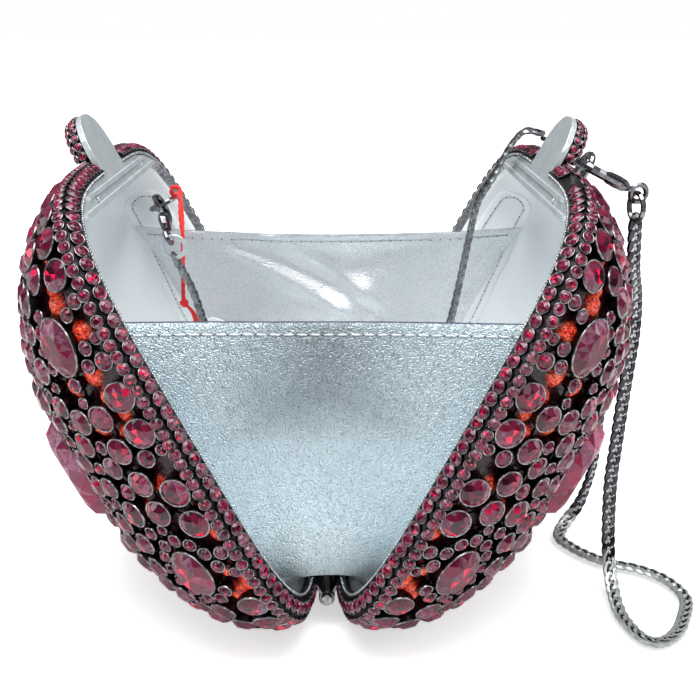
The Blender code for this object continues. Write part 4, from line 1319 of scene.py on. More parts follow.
@dataclass
class JewelShell(ShellPart):
    """One shell's outside: the stones in their cups, the bridges between these and the glitter behind."""

    cutter: StoneCutter = StoneCutter()
    oval_cutter: StoneCutter = StoneCutter(0.56, 0.8, 0.4, tone_middle=0.86, tone_pull=0.25)
    slab_cutter: StoneCutter = StoneCutter(0.62, 0.85, 0.17, 0.00024, tone_middle=0.66, tone_pull=0.45)
    layout: StoneLayout = StoneLayout()
    bridge_width: float = 0.0009
    bridge_thickness: float = 0.0007
    bridge_reach: float = 0.0026
    bridge_drop: float = 0.0002
    glitter_inset: float = 0.00195
    glitter_start: float = 0.0046
    mound_inset: float = 0.0001
    mound_count: int = 96
    mound_depth: tuple[float, float] = (0.0055, 0.0215)
    mound_reach: tuple[float, float] = (0.0026, 0.0046)
    bare_width: float = 0.0043
    bare_heap: float = 0.35
    long_length: float = 0.02
    small_length: float = 0.004
    lean: float = 0.035
    glitter_columns: int = 420
    glitter_rows: int = 84
    seed: int = 19

    def build(self) -> int:
        """Makes and mounts the pieces.

        Returns:
            The number of stones.
        """
        stones = self.layout.lay(self.form)
        heaped = self.mounds(*np.array([(stone.around, stone.rise) for stone in stones]).T)
        bare = [heap >= self.bare_heap for heap in heaped]
        stones = [stone for stone, hid in zip(stones, bare) if not hid or stone.length > self.bare_width]
        rng = np.random.default_rng(self.seed)
        frames = self.form.frames(*np.array([(stone.around, stone.rise) for stone in stones]).T)
        gems, cups = MeshBuilder(), MeshBuilder()
        for i, stone in enumerate(stones):
            here, normal, along, over = (part[i] for part in frames)
            if not stone.is_oval:
                lean = rng.normal(0.0, self.lean, 2)
                normal = unit(normal + along * lean[0] + over * lean[1])
                along = unit(along - normal * (along @ normal))
                over = np.cross(normal, along)
            frame, size = (here, normal, along, over), (stone.length, stone.width, stone.height)
            cutter, folds, sides = self.grade(stone)
            cutter.stone(gems, frame, size, stone.turn, folds, rng, int(cutter is self.slab_cutter))
            cutter.cup(cups, frame, size, sides, self.form if stone.is_oval else None)
        self.bridges(cups, frames[0], frames[1], stones)
        word, finishes = self.side.word, self.finishes
        gem_piece = gems.build(f"{word}_stones", [finishes.crystal, finishes.pale_crystal], None, tone=True)
        cup_piece = cups.build(f"{word}_cups", [finishes.bezel, finishes.cup], 40.0)
        glitter = self.glitter()
        self.mount(gem_piece, "crystal")
        self.mount(cup_piece, "gunmetal", "jewel_shell")
        self.mount(glitter, "glitter", "glitter_skin")
        return len(stones)

    def grade(self, stone: Stone) -> tuple[StoneCutter, int, int]:
        """How finely a stone is made, by its size.

        Args:
            stone: The stone.

        Returns:
            Its cutter, its number of main facets and the corners round its cup.
        """
        if stone.length > self.long_length:
            return self.slab_cutter, 12, 40
        if stone.is_oval:
            return self.oval_cutter, 10, 28
        return (self.cutter, 8, 20) if stone.length > self.small_length else (self.cutter, 6, 14)

    def bridges(self, build: MeshBuilder, spots: Points, normals: Points, stones: list[Stone]) -> None:
        """Adds the short bars that join neighbouring cups.

        Args:
            build: The mesh that takes them.
            spots: The stones' feet.
            normals: Their outward directions.
            stones: The stones.
        """
        reach = np.array([(stone.length + stone.width) / 4 for stone in stones])
        for i in range(len(stones)):
            away = np.linalg.norm(spots[i + 1:] - spots[i], axis=1)
            close = np.flatnonzero(away - reach[i] - reach[i + 1:] < self.bridge_reach) + i + 1
            for j in close:
                way = unit(spots[j] - spots[i])
                normal = unit(normals[i] + normals[j])
                across = np.cross(normal, way) * self.bridge_width / 2
                points = []
                inside = 0.7
                for base in (spots[i] + way * reach[i] * inside, spots[j] - way * reach[j] * inside):
                    for drop in (self.bridge_drop, self.bridge_drop + self.bridge_thickness):
                        points += [base + across - normal * drop, base - across - normal * drop]
                build.add(np.array(points), [(0, 4, 5, 1), (2, 3, 7, 6), (0, 2, 6, 4), (1, 5, 7, 3)], 1)

    def glitter(self) -> Piece:
        """Makes the glitter layer behind the cups.

        Returns:
            The piece.
        """
        columns, rows = self.glitter_columns, self.glitter_rows
        angles = self.form.even_angles(columns)
        inset = self.glitter_inset
        rises = np.linspace(self.form.rise_at(self.glitter_start, inset), CROWN_RISE, rows)
        around, rise = np.broadcast_arrays(angles[None, :], rises[:, None])
        heaped = self.mounds(around, rise)
        grid = self.form.point(around, rise, inset - (inset - self.mound_inset) * heaped)
        build = MeshBuilder()
        faces = grid_faces(rows, columns, True) + [tuple((rows - 1) * columns + j for j in range(columns))]
        build.add(grid.reshape(-1, 3), faces)
        piece = build.build(f"{self.side.word}_glitter_layer", [self.finishes.glitter])
        # The heaped share, carried as lit, paints the glitter bright on the heaps and near-black with painted
        # shade elsewhere.
        carried = piece.data.attributes.new("lit", "FLOAT", "POINT")
        carried.data.foreach_set("value", heaped.reshape(-1).astype(np.float32))
        return piece

    def mounds(self, around: Points, rise: Points) -> Points:
        """How far the glitter is heaped up between the cups, in soft patches near the mouth.

        Args:
            around: Angles round the mouth.
            rise: Angles up the dome.

        Returns:
            A share from 0 to 1 for each place.
        """
        chance = np.random.default_rng(self.seed + 2)
        spots = self.form.shut(around, rise)
        heaped = np.zeros(around.shape)
        turns = self.form.even_angles(self.mound_count)
        for turn in turns + chance.uniform(-0.02, 0.02, self.mound_count):
            level = self.form.rise_at(chance.uniform(*self.mound_depth))
            reach = chance.uniform(*self.mound_reach)
            away = np.linalg.norm(spots - self.form.shut(turn, level), axis=-1) / reach
            heaped = np.maximum(heaped, np.clip(1.6 * (1.0 - away), 0.0, 1.0))
        return heaped * heaped * (3.0 - 2.0 * heaped)


@dataclass
class RimDressing(ShellPart):
    """The mouth's metal lip and wall, the band with its two rows of small stones and the beaded line."""

    lip_front: float = 0.00055
    lip_thickness: float = 0.001
    lip_width: float = 0.0036
    wall_out: float = 0.0021
    wall_in: float = 0.0031
    wall_depth: float = 0.0078
    band_end: float = 0.0043
    band_proud: float = 0.0011
    bevel: float = 0.0004
    chamfer_start: float = 0.0004
    chamfer_in: float = 0.0029
    chamfer_end: float = 0.0032
    chamfer_out: float = -0.0008
    seat_share: float = 0.5
    outer_stone: float = 0.0028
    outer_pitch: float = 0.003
    outer_depth: float = 0.0043
    notch_depth: float = 0.0027
    tab_half: float = 0.0128
    leaf_half: float = 0.0363
    stone: float = 0.0033
    stone_pitch: float = 0.00342
    stone_rise: float = 0.0014
    bead_radius: float = 0.00038
    bead_pitch: float = 0.00088
    loop_place: float = -0.032
    loop_half: float = 0.0058
    notch_gap: float = 0.0016
    lean: float = 0.06
    lip_steps: int = 130
    band_steps: int = 260
    notch_steps: int = 30
    wall_steps: int = 300
    row_steps: int = 2400
    bead_steps: int = 4800
    bead_sides: int = 8
    cutter: StoneCutter = StoneCutter(bezel_out=0.00016, bezel_in=0.0001, cup_sink=0.0004)
    seed: int = 23

    def __post_init__(self) -> None:
        """Takes the dome's form and the angles of the notches."""
        super().__post_init__()
        self.tab_turn = self.form.angle_at(self.tab_half, True)
        self.leaf_turn = self.form.angle_at(self.leaf_half, False)

    def build(self) -> None:
        """Makes and mounts the pieces."""
        word, form = self.side.word, self.form
        long_sides = form.arc(self.tab_turn, TURN - self.tab_turn, self.band_steps)
        lip_piece = self.frame(long_sides)
        band = MeshBuilder()
        back, half = self.lip_thickness, self.lip_width / 2
        low, high, out, v = self.notch_depth, self.band_end, -self.band_proud, self.bevel
        section = [(self.chamfer_start, self.chamfer_in), (self.chamfer_end, self.chamfer_out),
                   (self.chamfer_end + v, out), (high - v, out), (high, out + v), (high, half),
                   (back, self.chamfer_in)]
        form.ring(band, section, long_sides, False, 1)
        short = [(low, half), (low, out + v), (low + v, out), (high - v, out), (high, out + v), (high, half)]
        notch = form.arc(TURN - self.tab_turn, TURN + self.tab_turn, self.notch_steps)
        form.ring(band, short, notch, False, 1)
        gems = MeshBuilder()
        rng = np.random.default_rng(self.seed)
        depth = self.chamfer_start + (self.chamfer_end - self.chamfer_start) * self.seat_share
        inset = self.chamfer_in + (self.chamfer_out - self.chamfer_in) * self.seat_share
        fall = unit(np.array((self.chamfer_end - self.chamfer_start, self.chamfer_in - self.chamfer_out)))
        self.stone_row(gems, band, rng, (depth, inset, self.stone, self.stone_pitch, 0.0), fall)
        outer = (self.outer_depth, -self.band_proud * 0.8, self.outer_stone, self.outer_pitch, 0.5)
        self.stone_row(gems, band, rng, outer, np.array((1.0, 0.0)))
        band_piece = band.build(f"{word}_rim_band", [self.finishes.bezel, self.finishes.cup], 40.0)
        gem_piece = gems.build(f"{word}_rim_stones", [self.finishes.crystal], None, tone=True)
        self.mount(lip_piece, "nickel", "rim_frame")
        self.mount(band_piece, "gunmetal", "stone_band")
        self.mount(gem_piece, "crystal")
        self.mount(self.beads(), "nickel")

    def frame(self, long_sides: Points) -> Piece:
        """Makes the metal lip and the wall behind it.

        Args:
            long_sides: The angles round the mouth that leave out the tab's notch.

        Returns:
            The piece.
        """
        form, build = self.form, MeshBuilder()
        front, back, wide = self.lip_front, self.lip_thickness, self.lip_width
        b, start = (back - front) * 0.25, self.chamfer_in - 0.0003
        lip = [(front, start + b), (front + b, start), (back - b, start), (back, start + b), (back, wide - b),
               (back - b, wide), (front + b, wide), (front, wide - b)]
        for first in (self.tab_turn, TURN - self.leaf_turn):
            side = form.arc(first, first + self.leaf_turn - self.tab_turn, self.lip_steps)
            form.ring(build, lip, side, False)
        notch, deep = self.notch_depth, self.wall_depth
        whole = form.even_angles(self.wall_steps)
        for near, far, angles in ((back, notch, long_sides), (notch, deep, whole)):
            wall = [(near, self.wall_out), (far, self.wall_out), (far, self.wall_in), (near, self.wall_in)]
            form.ring(build, wall, angles, angles is not long_sides)
        return build.build(f"{self.side.word}_mouth_frame", [self.finishes.bead], 35.0)

    def stone_row(
        self, gems: MeshBuilder, band: MeshBuilder, rng: np.random.Generator, row: tuple[float, ...],
        fall: Points,
    ) -> None:
        """Sets one row of small stones round the mouth.

        Args:
            gems: The mesh that takes the stones.
            band: The mesh that takes their cups.
            rng: The source of their tones and leans.
            row: Its depth, its inset, a stone's width, the pitch and the first stone's offset in pitches.
            fall: How far the stones look outwards and how far towards the other shell.
        """
        depth, inset, width, pitch, offset = row
        fine = self.form.even_angles(self.row_steps)
        rise = self.form.rise_at(depth, inset)
        count = int(line_length(self.form.point(fine, rise, inset)) / pitch)
        for i in range(count):
            angle = fine[int((i + offset) * self.row_steps / count) % self.row_steps]
            frame = self.form.frames(np.array([angle]), np.array([rise]), inset)
            here, normal, along = (part[0] for part in frame[:3])
            on_top = math.cos(angle) > 0.2
            in_notch = abs(here[1]) < self.tab_half + self.notch_gap and depth < self.notch_depth + width / 2
            if on_top and in_notch:
                continue
            if on_top and self.side is Side.RIGHT and abs(here[1] - self.loop_place) < self.loop_half:
                continue
            radial = unit(normal - self.form.out * (normal @ self.form.out))
            normal = unit(radial * fall[0] - self.form.out * fall[1] + along * rng.normal(0, self.lean))
            along = unit(along - normal * (along @ normal))
            frame = (here, normal, along, np.cross(normal, along))
            size = (width, width, self.stone_rise)
            self.cutter.stone(gems, frame, size, rng.uniform(0, 6), 6, rng)
            self.cutter.cup(band, frame, size, 14)

    def beads(self) -> Piece:
        """Makes the fine beaded line along the lip.

        Returns:
            The piece.
        """
        build, form, radius = MeshBuilder(), self.form, self.bead_radius
        inset = self.chamfer_in + radius * 1.5
        line = form.point(form.even_angles(self.bead_steps), form.rise_at(radius * 1.2, inset), inset)
        count = int(line_length(line) / self.bead_pitch)
        sides = self.bead_sides
        middle = form.opened(0.0, form.centre, 0.0)
        turns = [TURN * j / sides for j in range(sides)]
        faces: Faces = []
        for j in range(sides):
            k = (j + 1) % sides
            faces.append((1, 2 + k, 2 + j))
            faces += [(base + j, base + k, base + sides + k, base + sides + j) for base in (2, 2 + sides)]
            faces.append((2 + 2 * sides + j, 2 + 2 * sides + k, 0))
        for i in range(count):
            spot = line[int(i * self.bead_steps / count)]
            if form.up @ (spot - middle) > 0.05 and abs(spot[1]) < self.tab_half:
                continue
            points = [spot + form.out * radius, spot - form.out * radius]
            for level in (-0.95, 0.0, 0.95):
                ring, rise = radius * math.cos(level), radius * math.sin(level)
                for turn in turns:
                    along = np.array((0.0, ring * math.sin(turn), 0.0))
                    points.append(spot + form.out * rise + form.up * ring * math.cos(turn) + along)
            build.add(np.array(points), faces)
        return build.build(f"{self.side.word}_rim_beads", [self.finishes.bead], 80.0)


@dataclass
class Lining(ShellPart):
    """The leather bowl inside a shell, with the stitched end patches of both gussets."""

    inset: float = 0.0034
    thickness: float = 0.0012
    start: float = 0.0028
    patch_thickness: float = 0.0008
    stitch_length: float = 0.0024
    stitch_pitch: float = 0.0033
    stitch_radius: float = 0.00034
    patch_low: float = 0.022
    patch_high: float = 0.1172
    patch_near: float = 0.0062
    patch_heights: tuple[float, ...] = (0.022, 0.075, 0.095, 0.1125)
    patch_depths: tuple[float, ...] = (0.023, 0.0212, 0.0196, 0.0168)
    patch_seam: float = 0.0019
    lip: float = 0.0004
    columns: int = 220
    rows: int = 46

    def build(self) -> None:
        """Makes and mounts the pieces."""
        word, form, columns = self.side.word, self.form, self.columns
        outer, inner = self.inset, self.inset + self.thickness
        mid = self.inset + self.thickness / 2
        angles = form.even_angles(columns)
        start = self.start + self.lip
        rises = np.linspace(CROWN_RISE, form.rise_at(start, outer), self.rows)
        rings = [form.point(angles, rise, outer) for rise in rises]
        rings.append(form.point(angles, form.rise_at(self.start, mid), mid))
        rises = np.linspace(form.rise_at(start, inner), CROWN_RISE, self.rows)
        rings += [form.point(angles, rise, inner) for rise in rises]
        count = len(rings)
        faces = grid_faces(count, columns, True)
        faces.append(tuple(range(columns - 1, -1, -1)))
        faces.append(tuple((count - 1) * columns + j for j in range(columns)))
        build, patch, seam = MeshBuilder(), MeshBuilder(), MeshBuilder()
        build.add(np.concatenate(rings), faces)
        for end in End:
            self.patch(patch, seam, end)
        finishes = self.finishes
        self.mount(build.build(f"{word}_lining_bowl", [finishes.lining], 60.0), "leather", "lining")
        self.mount(patch.build(f"{word}_seam_patches", [finishes.lining], 50.0), "leather")
        self.mount(seam.build(f"{word}_lining_stitches", [finishes.seam, finishes.hole], 60.0), "leather")

    def wall(self, height: Points, depth: Points, end: End, lift: float) -> Points:
        """Places on the lining's end wall, at heights and depths and lifted off the leather."""
        y = end.value * (self.form.half_width(height, depth, self.inset + self.thickness) - lift)
        return self.form.opened(y, height, depth)

    def patch_outline(self, margin: float, count: int) -> tuple[Points, Points]:
        """The outline of a patch, drawn in by a margin.

        Args:
            margin: How far it is drawn in.
            count: Points on each long side and round the end.

        Returns:
            The heights and depths of its points.
        """
        low, high = self.patch_low + margin, self.patch_high - margin
        near, far = self.patch_near + margin, self.patch_depths[-1] - margin
        radius = (far - near) / 2
        left = np.linspace(low, high - radius, count)
        turn = np.linspace(math.pi, 0.0, count)
        right = np.linspace(high - radius, low, count)
        outer = np.interp(right, self.patch_heights, self.patch_depths) - margin
        outer += (far - outer[0]) * np.linspace(1.0, 0.0, count) ** 3
        heights = np.concatenate([left, high - radius + radius * np.sin(turn), right])
        depths = np.concatenate([np.full(count, near), (near + far) / 2 + radius * np.cos(turn), outer])
        return heights, depths

    def patch(self, build: MeshBuilder, seam: MeshBuilder, end: End) -> None:
        """Adds one patch and the stitches round it.

        Args:
            build: The mesh that takes the leather.
            seam: The mesh that takes the stitches.
            end: Which end of the hinge.
        """
        full = self.patch_thickness
        steps = ((0.0, 0.0), (0.0001, full * 0.8), (0.0006, full), (0.0022, full), (0.0042, full))
        grid = np.array([self.wall(*self.patch_outline(margin, 28), end, lift) for margin, lift in steps])
        rows, columns = grid.shape[:2]
        faces = grid_faces(rows, columns)
        base, end_point = (rows - 1) * columns, rows * columns - 1
        faces += [
            (base + j, base + j + 1, end_point - 1 - j, end_point - j) for j in range(columns // 2 - 1)
        ]
        if self.side.value * end.value > 0:
            faces = [tuple(reversed(face)) for face in faces]
        build.add(grid.reshape(-1, 3), faces)
        line = self.wall(*self.patch_outline(self.patch_seam, 120), end, full + 0.0001)
        add_stitches(seam, line, self.stitch_length, self.stitch_pitch, self.stitch_radius)


def add_stitches(build: MeshBuilder, line: Points, length: float, pitch: float, radius: float) -> None:
    """Adds a row of stitches that dip into the leather at their ends.

    Args:
        build: The mesh that takes them.
        line: The line that they follow.
        length: The length of a stitch.
        pitch: The distance from one to the next.
        radius: The thread's radius.
    """
    along = travelled(line)
    for i in range(int(along[-1] / pitch)):
        middle = (i + 0.5) * pitch
        thread = read_at(middle + np.linspace(-0.5, 0.5, 5) * length, along, line)
        build.tube(thread, radius * np.array((0.35, 0.95, 1.0, 0.95, 0.35)), 6)
        # A dark mark at each needle hole, painted shade.
        hole = read_at(middle + 0.5 * pitch + np.array((-0.28, 0.0, 0.28)) * (pitch - length), along, line)
        build.tube(hole, radius * np.array((0.6, 0.9, 0.6)), 6, 1)


@dataclass
class Gusset:
    """One leather gusset across the mouth, hemmed and stitched along its top."""

    end: End
    finishes: Finishes
    near_share: float = 0.63
    far_share: float = 0.6508
    near_foot: float = 0.0128
    far_foot: float = 0.0205
    depth: float = 0.0175
    sag: float = 0.007
    inset: float = 0.0046
    seam_gap: float = 0.0003
    thickness: float = 0.0009
    hem: float = 0.0046
    hem_extra: float = 0.0005
    hem_dip: float = 0.0012
    hem_fade: float = 0.00022
    pinch: float = 0.00025
    edge_ease: float = 0.0006
    stitch_drop: float = 0.0028
    stitch_length: float = 0.0024
    stitch_pitch: float = 0.0033
    stitch_radius: float = 0.00028
    stitch_lift: float = 0.00025
    bend: float = 0.034
    tall_share: float = 1.02
    far_folds: tuple[tuple[float, ...], ...] = (
        (0.1, 1.1, 0.07, 0.003), (0.33, 0.9, 0.05, 0.0018), (0.86, -0.8, 0.08, 0.0022),
    )
    far_waves: tuple[tuple[float, ...], ...] = ((0.0006, 9.0, 4.0, 0.0), (0.0005, 17.0, -11.0, 0.0))
    near_waves: tuple[tuple[float, ...], ...] = ((0.0005, 5.0, 2.2, 0.6), (0.0003, 12.0, -5.0, 0.0))
    near_dent: Spot = (0.3, 0.05, 0.0007)
    columns: int = 120
    rows: int = 64

    @property
    def top(self) -> float:
        """The hem's height above the hinge."""
        share, form = self.far_share if self.end is End.FAR else self.near_share, DomeForm(Side.RIGHT)
        return form.rim_bottom + form.rim_height * share

    @property
    def foot(self) -> float:
        """The foot's height above the hinge."""
        return self.far_foot if self.end is End.FAR else self.near_foot

    def place(self, across: Points, down: Points, lift: Points | float = 0.0) -> Points:
        """Places on the gusset's middle surface.

        Args:
            across: From the left shell, 0, to the right, 1.
            down: From the hem, 0, to the foot, 1.
            lift: Distance towards the bag's outside.

        Returns:
            One point for each pair.
        """
        form = DomeForm(Side.RIGHT)
        sine, cosine = math.sin(form.open_angle), math.cos(form.open_angle)
        level = self.top + (self.foot - self.top) * down
        dip = self.hem_dip * np.sin(math.pi * across) * (1 - down)
        level = level - dip
        height = (level + self.depth * sine) / cosine
        seam = form.half_width(height, np.full_like(height, self.depth), self.inset) - self.seam_gap
        half = height * sine + (self.depth + form.meeting_gap / 2) * cosine
        y = self.end.value * (seam - self.sag * np.sin(math.pi * across) - self.folds(across, down) + lift)
        return np.stack([half * (2 * across - 1), y, level + form.hinge_height], axis=-1)

    def folds(self, across: Points, down: Points) -> Points:
        """How far the soft folds stand in at a place.

        Args:
            across: From the left shell, 0, to the right, 1.
            down: From the hem, 0, to the foot, 1.

        Returns:
            One distance for each pair.
        """
        ends = np.sin(math.pi * across) ** 0.5
        waves = self.far_waves if self.end is End.FAR else self.near_waves
        wave = sum(deep * np.sin(a * across + b * down + start) for deep, a, b, start in waves)
        if self.end is End.NEAR:
            start, wide, deep = self.near_dent
            return ends * (wave + deep * np.exp(-(((across - start) / wide) ** 2)) * down)
        slant = sum(
            np.exp(-(((across - start - run * down) / wide) ** 2)) * deep
            for start, run, wide, deep in self.far_folds
        )
        return ends * (slant + wave) * np.clip(down * 6.0 + 0.25, 0, 1)

    def build(self) -> None:
        """Makes and mounts the gusset."""
        across = np.linspace(0.0, 1.0, self.columns)[None, :]
        length = self.top - self.foot
        down = np.concatenate([[0.0, 0.003, 0.01], np.linspace(0.02, 1.0, self.rows - 3)])[:, None]
        across, down = np.broadcast_arrays(across, down)
        below = down * length
        hem = 1.0 / (1.0 + np.exp((below - self.hem) / self.hem_fade))
        pinch = -self.pinch * np.exp(-(((below - self.stitch_drop) / self.edge_ease) ** 2))
        edge = np.clip(below / self.edge_ease, 0.35, 1.0)
        half = (self.thickness / 2 + self.hem_extra / 2 * hem + pinch) * np.minimum(1.0, edge)
        build = MeshBuilder()
        front, back = self.place(across, down, half), self.place(across, down, -half)
        rows, columns = across.shape
        faces = sheet_faces(rows, columns, self.end is End.NEAR)
        build.add(np.concatenate([front.reshape(-1, 3), back.reshape(-1, 3)]), faces)
        first = 2 * (rows - 1) * (columns - 1)
        # The top edge strip, and on the near gusset the first row of each face, take the dark finish: painted
        # shade along the hem's top.
        hem_shade_count = columns - 1 if self.end is End.NEAR else 0
        for start, count in ((0, hem_shade_count), (first // 2, hem_shade_count), (first, columns - 1)):
            build.slots[start:start + count] = [1] * count
        leather = self.finishes.near_gusset if self.end is End.NEAR else self.finishes.far_gusset
        piece = build.build(f"{self.end.word}_gusset_leather", [leather, self.finishes.edge], 50.0)
        seam = MeshBuilder()
        line_across = np.linspace(0.015, 0.985, 160)
        line_down = np.full_like(line_across, self.stitch_drop / length)
        for side in (1.0, -1.0):
            line = self.place(line_across, line_down, side * (self.thickness / 2 + self.stitch_lift))
            add_stitches(seam, line, self.stitch_length, self.stitch_pitch, self.stitch_radius)
        finishes = [self.finishes.seam, self.finishes.hole]
        seam_piece = seam.build(f"{self.end.word}_gusset_stitches", finishes, 60.0)
        self.mount(piece, seam_piece, length)

    def mount(self, piece: Piece, seam: Piece, length: float) -> None:
        """Args:
            piece: The leather.
            seam: The stitches.
            length: The drop from the hem to the foot; not used.
        """
        for item in (piece, seam):
            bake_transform(item)
        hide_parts(f"{self.end.word}_gusset")
        wide = line_length(self.place(np.linspace(0, 1, 200), np.zeros(200)))
        narrow = line_length(self.place(np.linspace(0, 1, 200), np.ones(200)))


@dataclass
class BaseStrip:
    """The leather strip over the hinge, from one lining to the other."""

    finishes: Finishes
    width: float = 0.072
    crest: float = 0.0128
    reach: float = 0.014
    drop: float = 0.0082
    thickness: float = 0.001
    wave: float = 0.0003
    bend: float = 0.011
    columns: int = 48
    rows: int = 40

    def build(self) -> None:
        """Makes and mounts the strip."""
        form = DomeForm(Side.RIGHT)
        turn = np.linspace(0.0, math.pi, self.columns)[None, :]
        y = np.linspace(-self.width / 2, self.width / 2, self.rows)[:, None]
        turn, y = np.broadcast_arrays(turn, y)
        sine, cosine = np.sin(turn), np.cos(turn)
        wave = self.wave * np.sin(y * 260 + turn * 2)
        normal = unit(np.stack([-cosine * self.drop, np.zeros_like(turn), sine * self.reach], axis=-1))
        height = self.crest - self.drop * (1 - sine) + form.hinge_height + wave * sine
        middle = np.stack([-self.reach * cosine, y, height], axis=-1)
        upper, lower = middle + normal * self.thickness / 2, middle - normal * self.thickness / 2
        build = MeshBuilder()
        both = np.concatenate([upper.reshape(-1, 3), lower.reshape(-1, 3)])
        build.add(both, sheet_faces(self.rows, self.columns, True))
        piece = build.build("base_strip_leather", [self.finishes.lining], 50.0)
        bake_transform(piece)
        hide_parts("base_strip")


@dataclass
class Strap:
    """The flat curb chain, in an inner stretch that bends between the shells and an outer one."""

    finishes: Finishes
    width: float = 0.0041
    wire: float = 0.00086
    pitch: float = 0.0032
    flat: float = 0.0007
    twist: float = math.radians(33.0)
    # The stretch, in shares of its length, painted bright as lit; the rest is painted dark as shaded
    # reflection.
    bright: tuple[float, float] = (0.355, 0.7)
    ring_wire: float = 0.0007
    # Inner faces of the bright links take painted shade between the links.
    inside_share: float = 0.84
    # Upper link ends in the dark stretch take a painted highlight.
    glint_from: float = 0.9
    glint_above: float = 0.4
    link_rings: int = 18
    link_sides: int = 7
    inner_route: Route = (
        (-0.0445, 0.0385, 0.077), (-0.041, 0.0375, 0.066), (-0.036, 0.033, 0.053), (-0.029, 0.025, 0.041),
        (-0.02, 0.014, 0.031), (-0.009, 0.003, 0.0255), (0.003, -0.004, 0.0245), (0.014, -0.002, 0.028),
        (0.022, 0.008, 0.035), (0.029, 0.02, 0.042), (0.034, 0.03, 0.051), (0.0385, 0.036, 0.0605),
        (0.0415, 0.0385, 0.0715), (0.0435, 0.0385, 0.0825), (0.0453, 0.037, 0.0945), (0.0473, 0.0345, 0.1066),
        (0.0515, 0.03, 0.116), (0.0553, 0.0262, 0.1252), (0.0592, 0.0243, 0.13), (0.0636, 0.0232, 0.1296),
    )
    outer_route: Route = (
        (0.06536, 0.023, 0.12773), (0.0712, 0.023, 0.12545), (0.076, 0.024, 0.1196), (0.0811, 0.0255, 0.1079),
        (0.0854, 0.026, 0.0927), (0.0883, 0.0255, 0.0733), (0.0893, 0.024, 0.054), (0.088, 0.022, 0.036),
        (0.0865, 0.02, 0.022), (0.083, 0.019, 0.01), (0.078, 0.0165, 0.0036), (0.0748, 0.01, 0.002),
        (0.0776, 0.0025, 0.002), (0.0828, -0.0038, 0.002), (0.089, -0.008, 0.002), (0.0945, -0.0105, 0.002),
        (0.1003, -0.0157, 0.002), (0.1033, -0.0225, 0.002), (0.1036, -0.029, 0.002), (0.1004, -0.0372, 0.002),
        (0.096, -0.045, 0.002), (0.0905, -0.0495, 0.002), (0.0861, -0.048, 0.002), (0.0837, -0.0415, 0.002),
        (0.0828, -0.0325, 0.0023), (0.0832, -0.022, 0.006), (0.083, -0.017, 0.015), (0.0828, -0.015, 0.032),
        (0.0835, -0.015, 0.046), (0.0845, -0.015, 0.062), (0.0855, -0.0155, 0.078), (0.0842, -0.019, 0.09),
        (0.0805, -0.027, 0.101),
    )
    inner_faces: Looks = (
        (0.0, (1.0, -0.3, 0.5)), (0.35, (0.3, 0.0, 1.0)), (0.62, (-0.9, -0.2, 0.4)),
        (0.88, (-0.9, -0.2, 0.4)), (1.0, (-0.4, 0.0, 1.0)),
    )
    outer_faces: Looks = (
        (0.0, (0.5, 0.0, 1.0)), (0.08, (0.8, -0.5, 0.5)), (0.2, (0.6, -0.8, 0.1)), (0.32, (0.7, -0.7, 0.4)),
        (0.4, (0.0, 0.0, 1.0)), (0.7, (0.0, 0.0, 1.0)), (0.76, (0.0, -0.55, 0.83)), (0.8, (0.1, -1.0, 0.1)),
        (1.0, (0.3, -1.0, 0.1)),
    )

    def ring_foot(self, node: str) -> Points:
        """The place where the chain's end link holds a hanging ring."""
        low, high = (np.array(corner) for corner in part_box(node))
        return np.array((*((low + high) / 2)[:2], low[2] + 2 * self.ring_wire))

    def build(self) -> None:
        """Makes and mounts both stretches."""
        inner = smooth_line(np.array([self.ring_foot("left_jump_ring"), *self.inner_route]), self.pitch / 4)
        outer = smooth_line(np.array([*self.outer_route, self.ring_foot("right_jump_ring")]), self.pitch / 4)
        # The inner stretch takes the darker copy of the chain silver, painted shade.
        shaded, brightly_lit = self.finishes.chain_shaded_silver, self.finishes.chain
        inner_piece = self.links("strap_chain_inner", inner, self.inner_faces, (0.0, 1.0), shaded)
        outer_piece = self.links("strap_chain_outer", outer, self.outer_faces, self.bright, brightly_lit)
        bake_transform(inner_piece)
        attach(outer_piece, "right_shell")
        for piece, node in ((inner_piece, "chain_inner"), (outer_piece, "chain_outer")):
            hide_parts(node)

    def link(self, half: float, wide: float) -> Points:
        """One twisted link with its front and back hammered flat.

        Args:
            half: Half the length of the loop that its wire follows.
            wide: Half the width of that loop.

        Returns:
            Its points, a ring of them after the other.
        """
        turn = np.arange(self.link_rings) * TURN / self.link_rings
        sine = np.sin(turn)
        x, y = half * np.cos(turn), wide * np.sign(sine) * np.abs(sine) ** 0.85
        spin = self.twist * x / half
        loop = np.stack([x, y * np.cos(spin), y * np.sin(spin)], axis=1)
        tube = tube_rings(loop, self.wire, self.link_sides, True)
        tube[..., 2] = np.clip(tube[..., 2], -self.flat, self.flat)
        return tube.reshape(-1, 3)

    def links(
        self, name: str, line: Points, faces: Looks, brightly_lit: tuple[float, float], finish: Material
    ) -> Piece:
        """Makes the links along a line.

        Args:
            name: The piece's name.
            line: The line that the chain follows.
            faces: Where the chain's flat face looks, at shares of its length.
            brightly_lit: The stretch, in shares of its length, whose links are painted bright outside, with
                painted shade on their inner faces; the rest are painted dark as shaded reflection, with a
                painted highlight on their upper ends.
            finish: The bright links' finish.

        Returns:
            The piece.
        """
        along = travelled(line)
        total = along[-1]
        ahead = unit(np.gradient(line, axis=0))
        shares = np.array([share for share, _ in faces]) * total
        wanted = read_at(along, shares, unit(np.array([look for _, look in faces], float)))
        up = unit(wanted - ahead * (wanted * ahead).sum(1, keepdims=True))
        count = max(1, round(total / self.pitch))
        pitch = total / count
        half, wide = (pitch + 2 * self.wire) / 2, self.width / 2 - self.wire
        template = self.link(half, wide)
        link_faces = tube_faces(self.link_rings, self.link_sides, True)
        middles = np.array([template[list(face)].mean(axis=0) for face in link_faces])
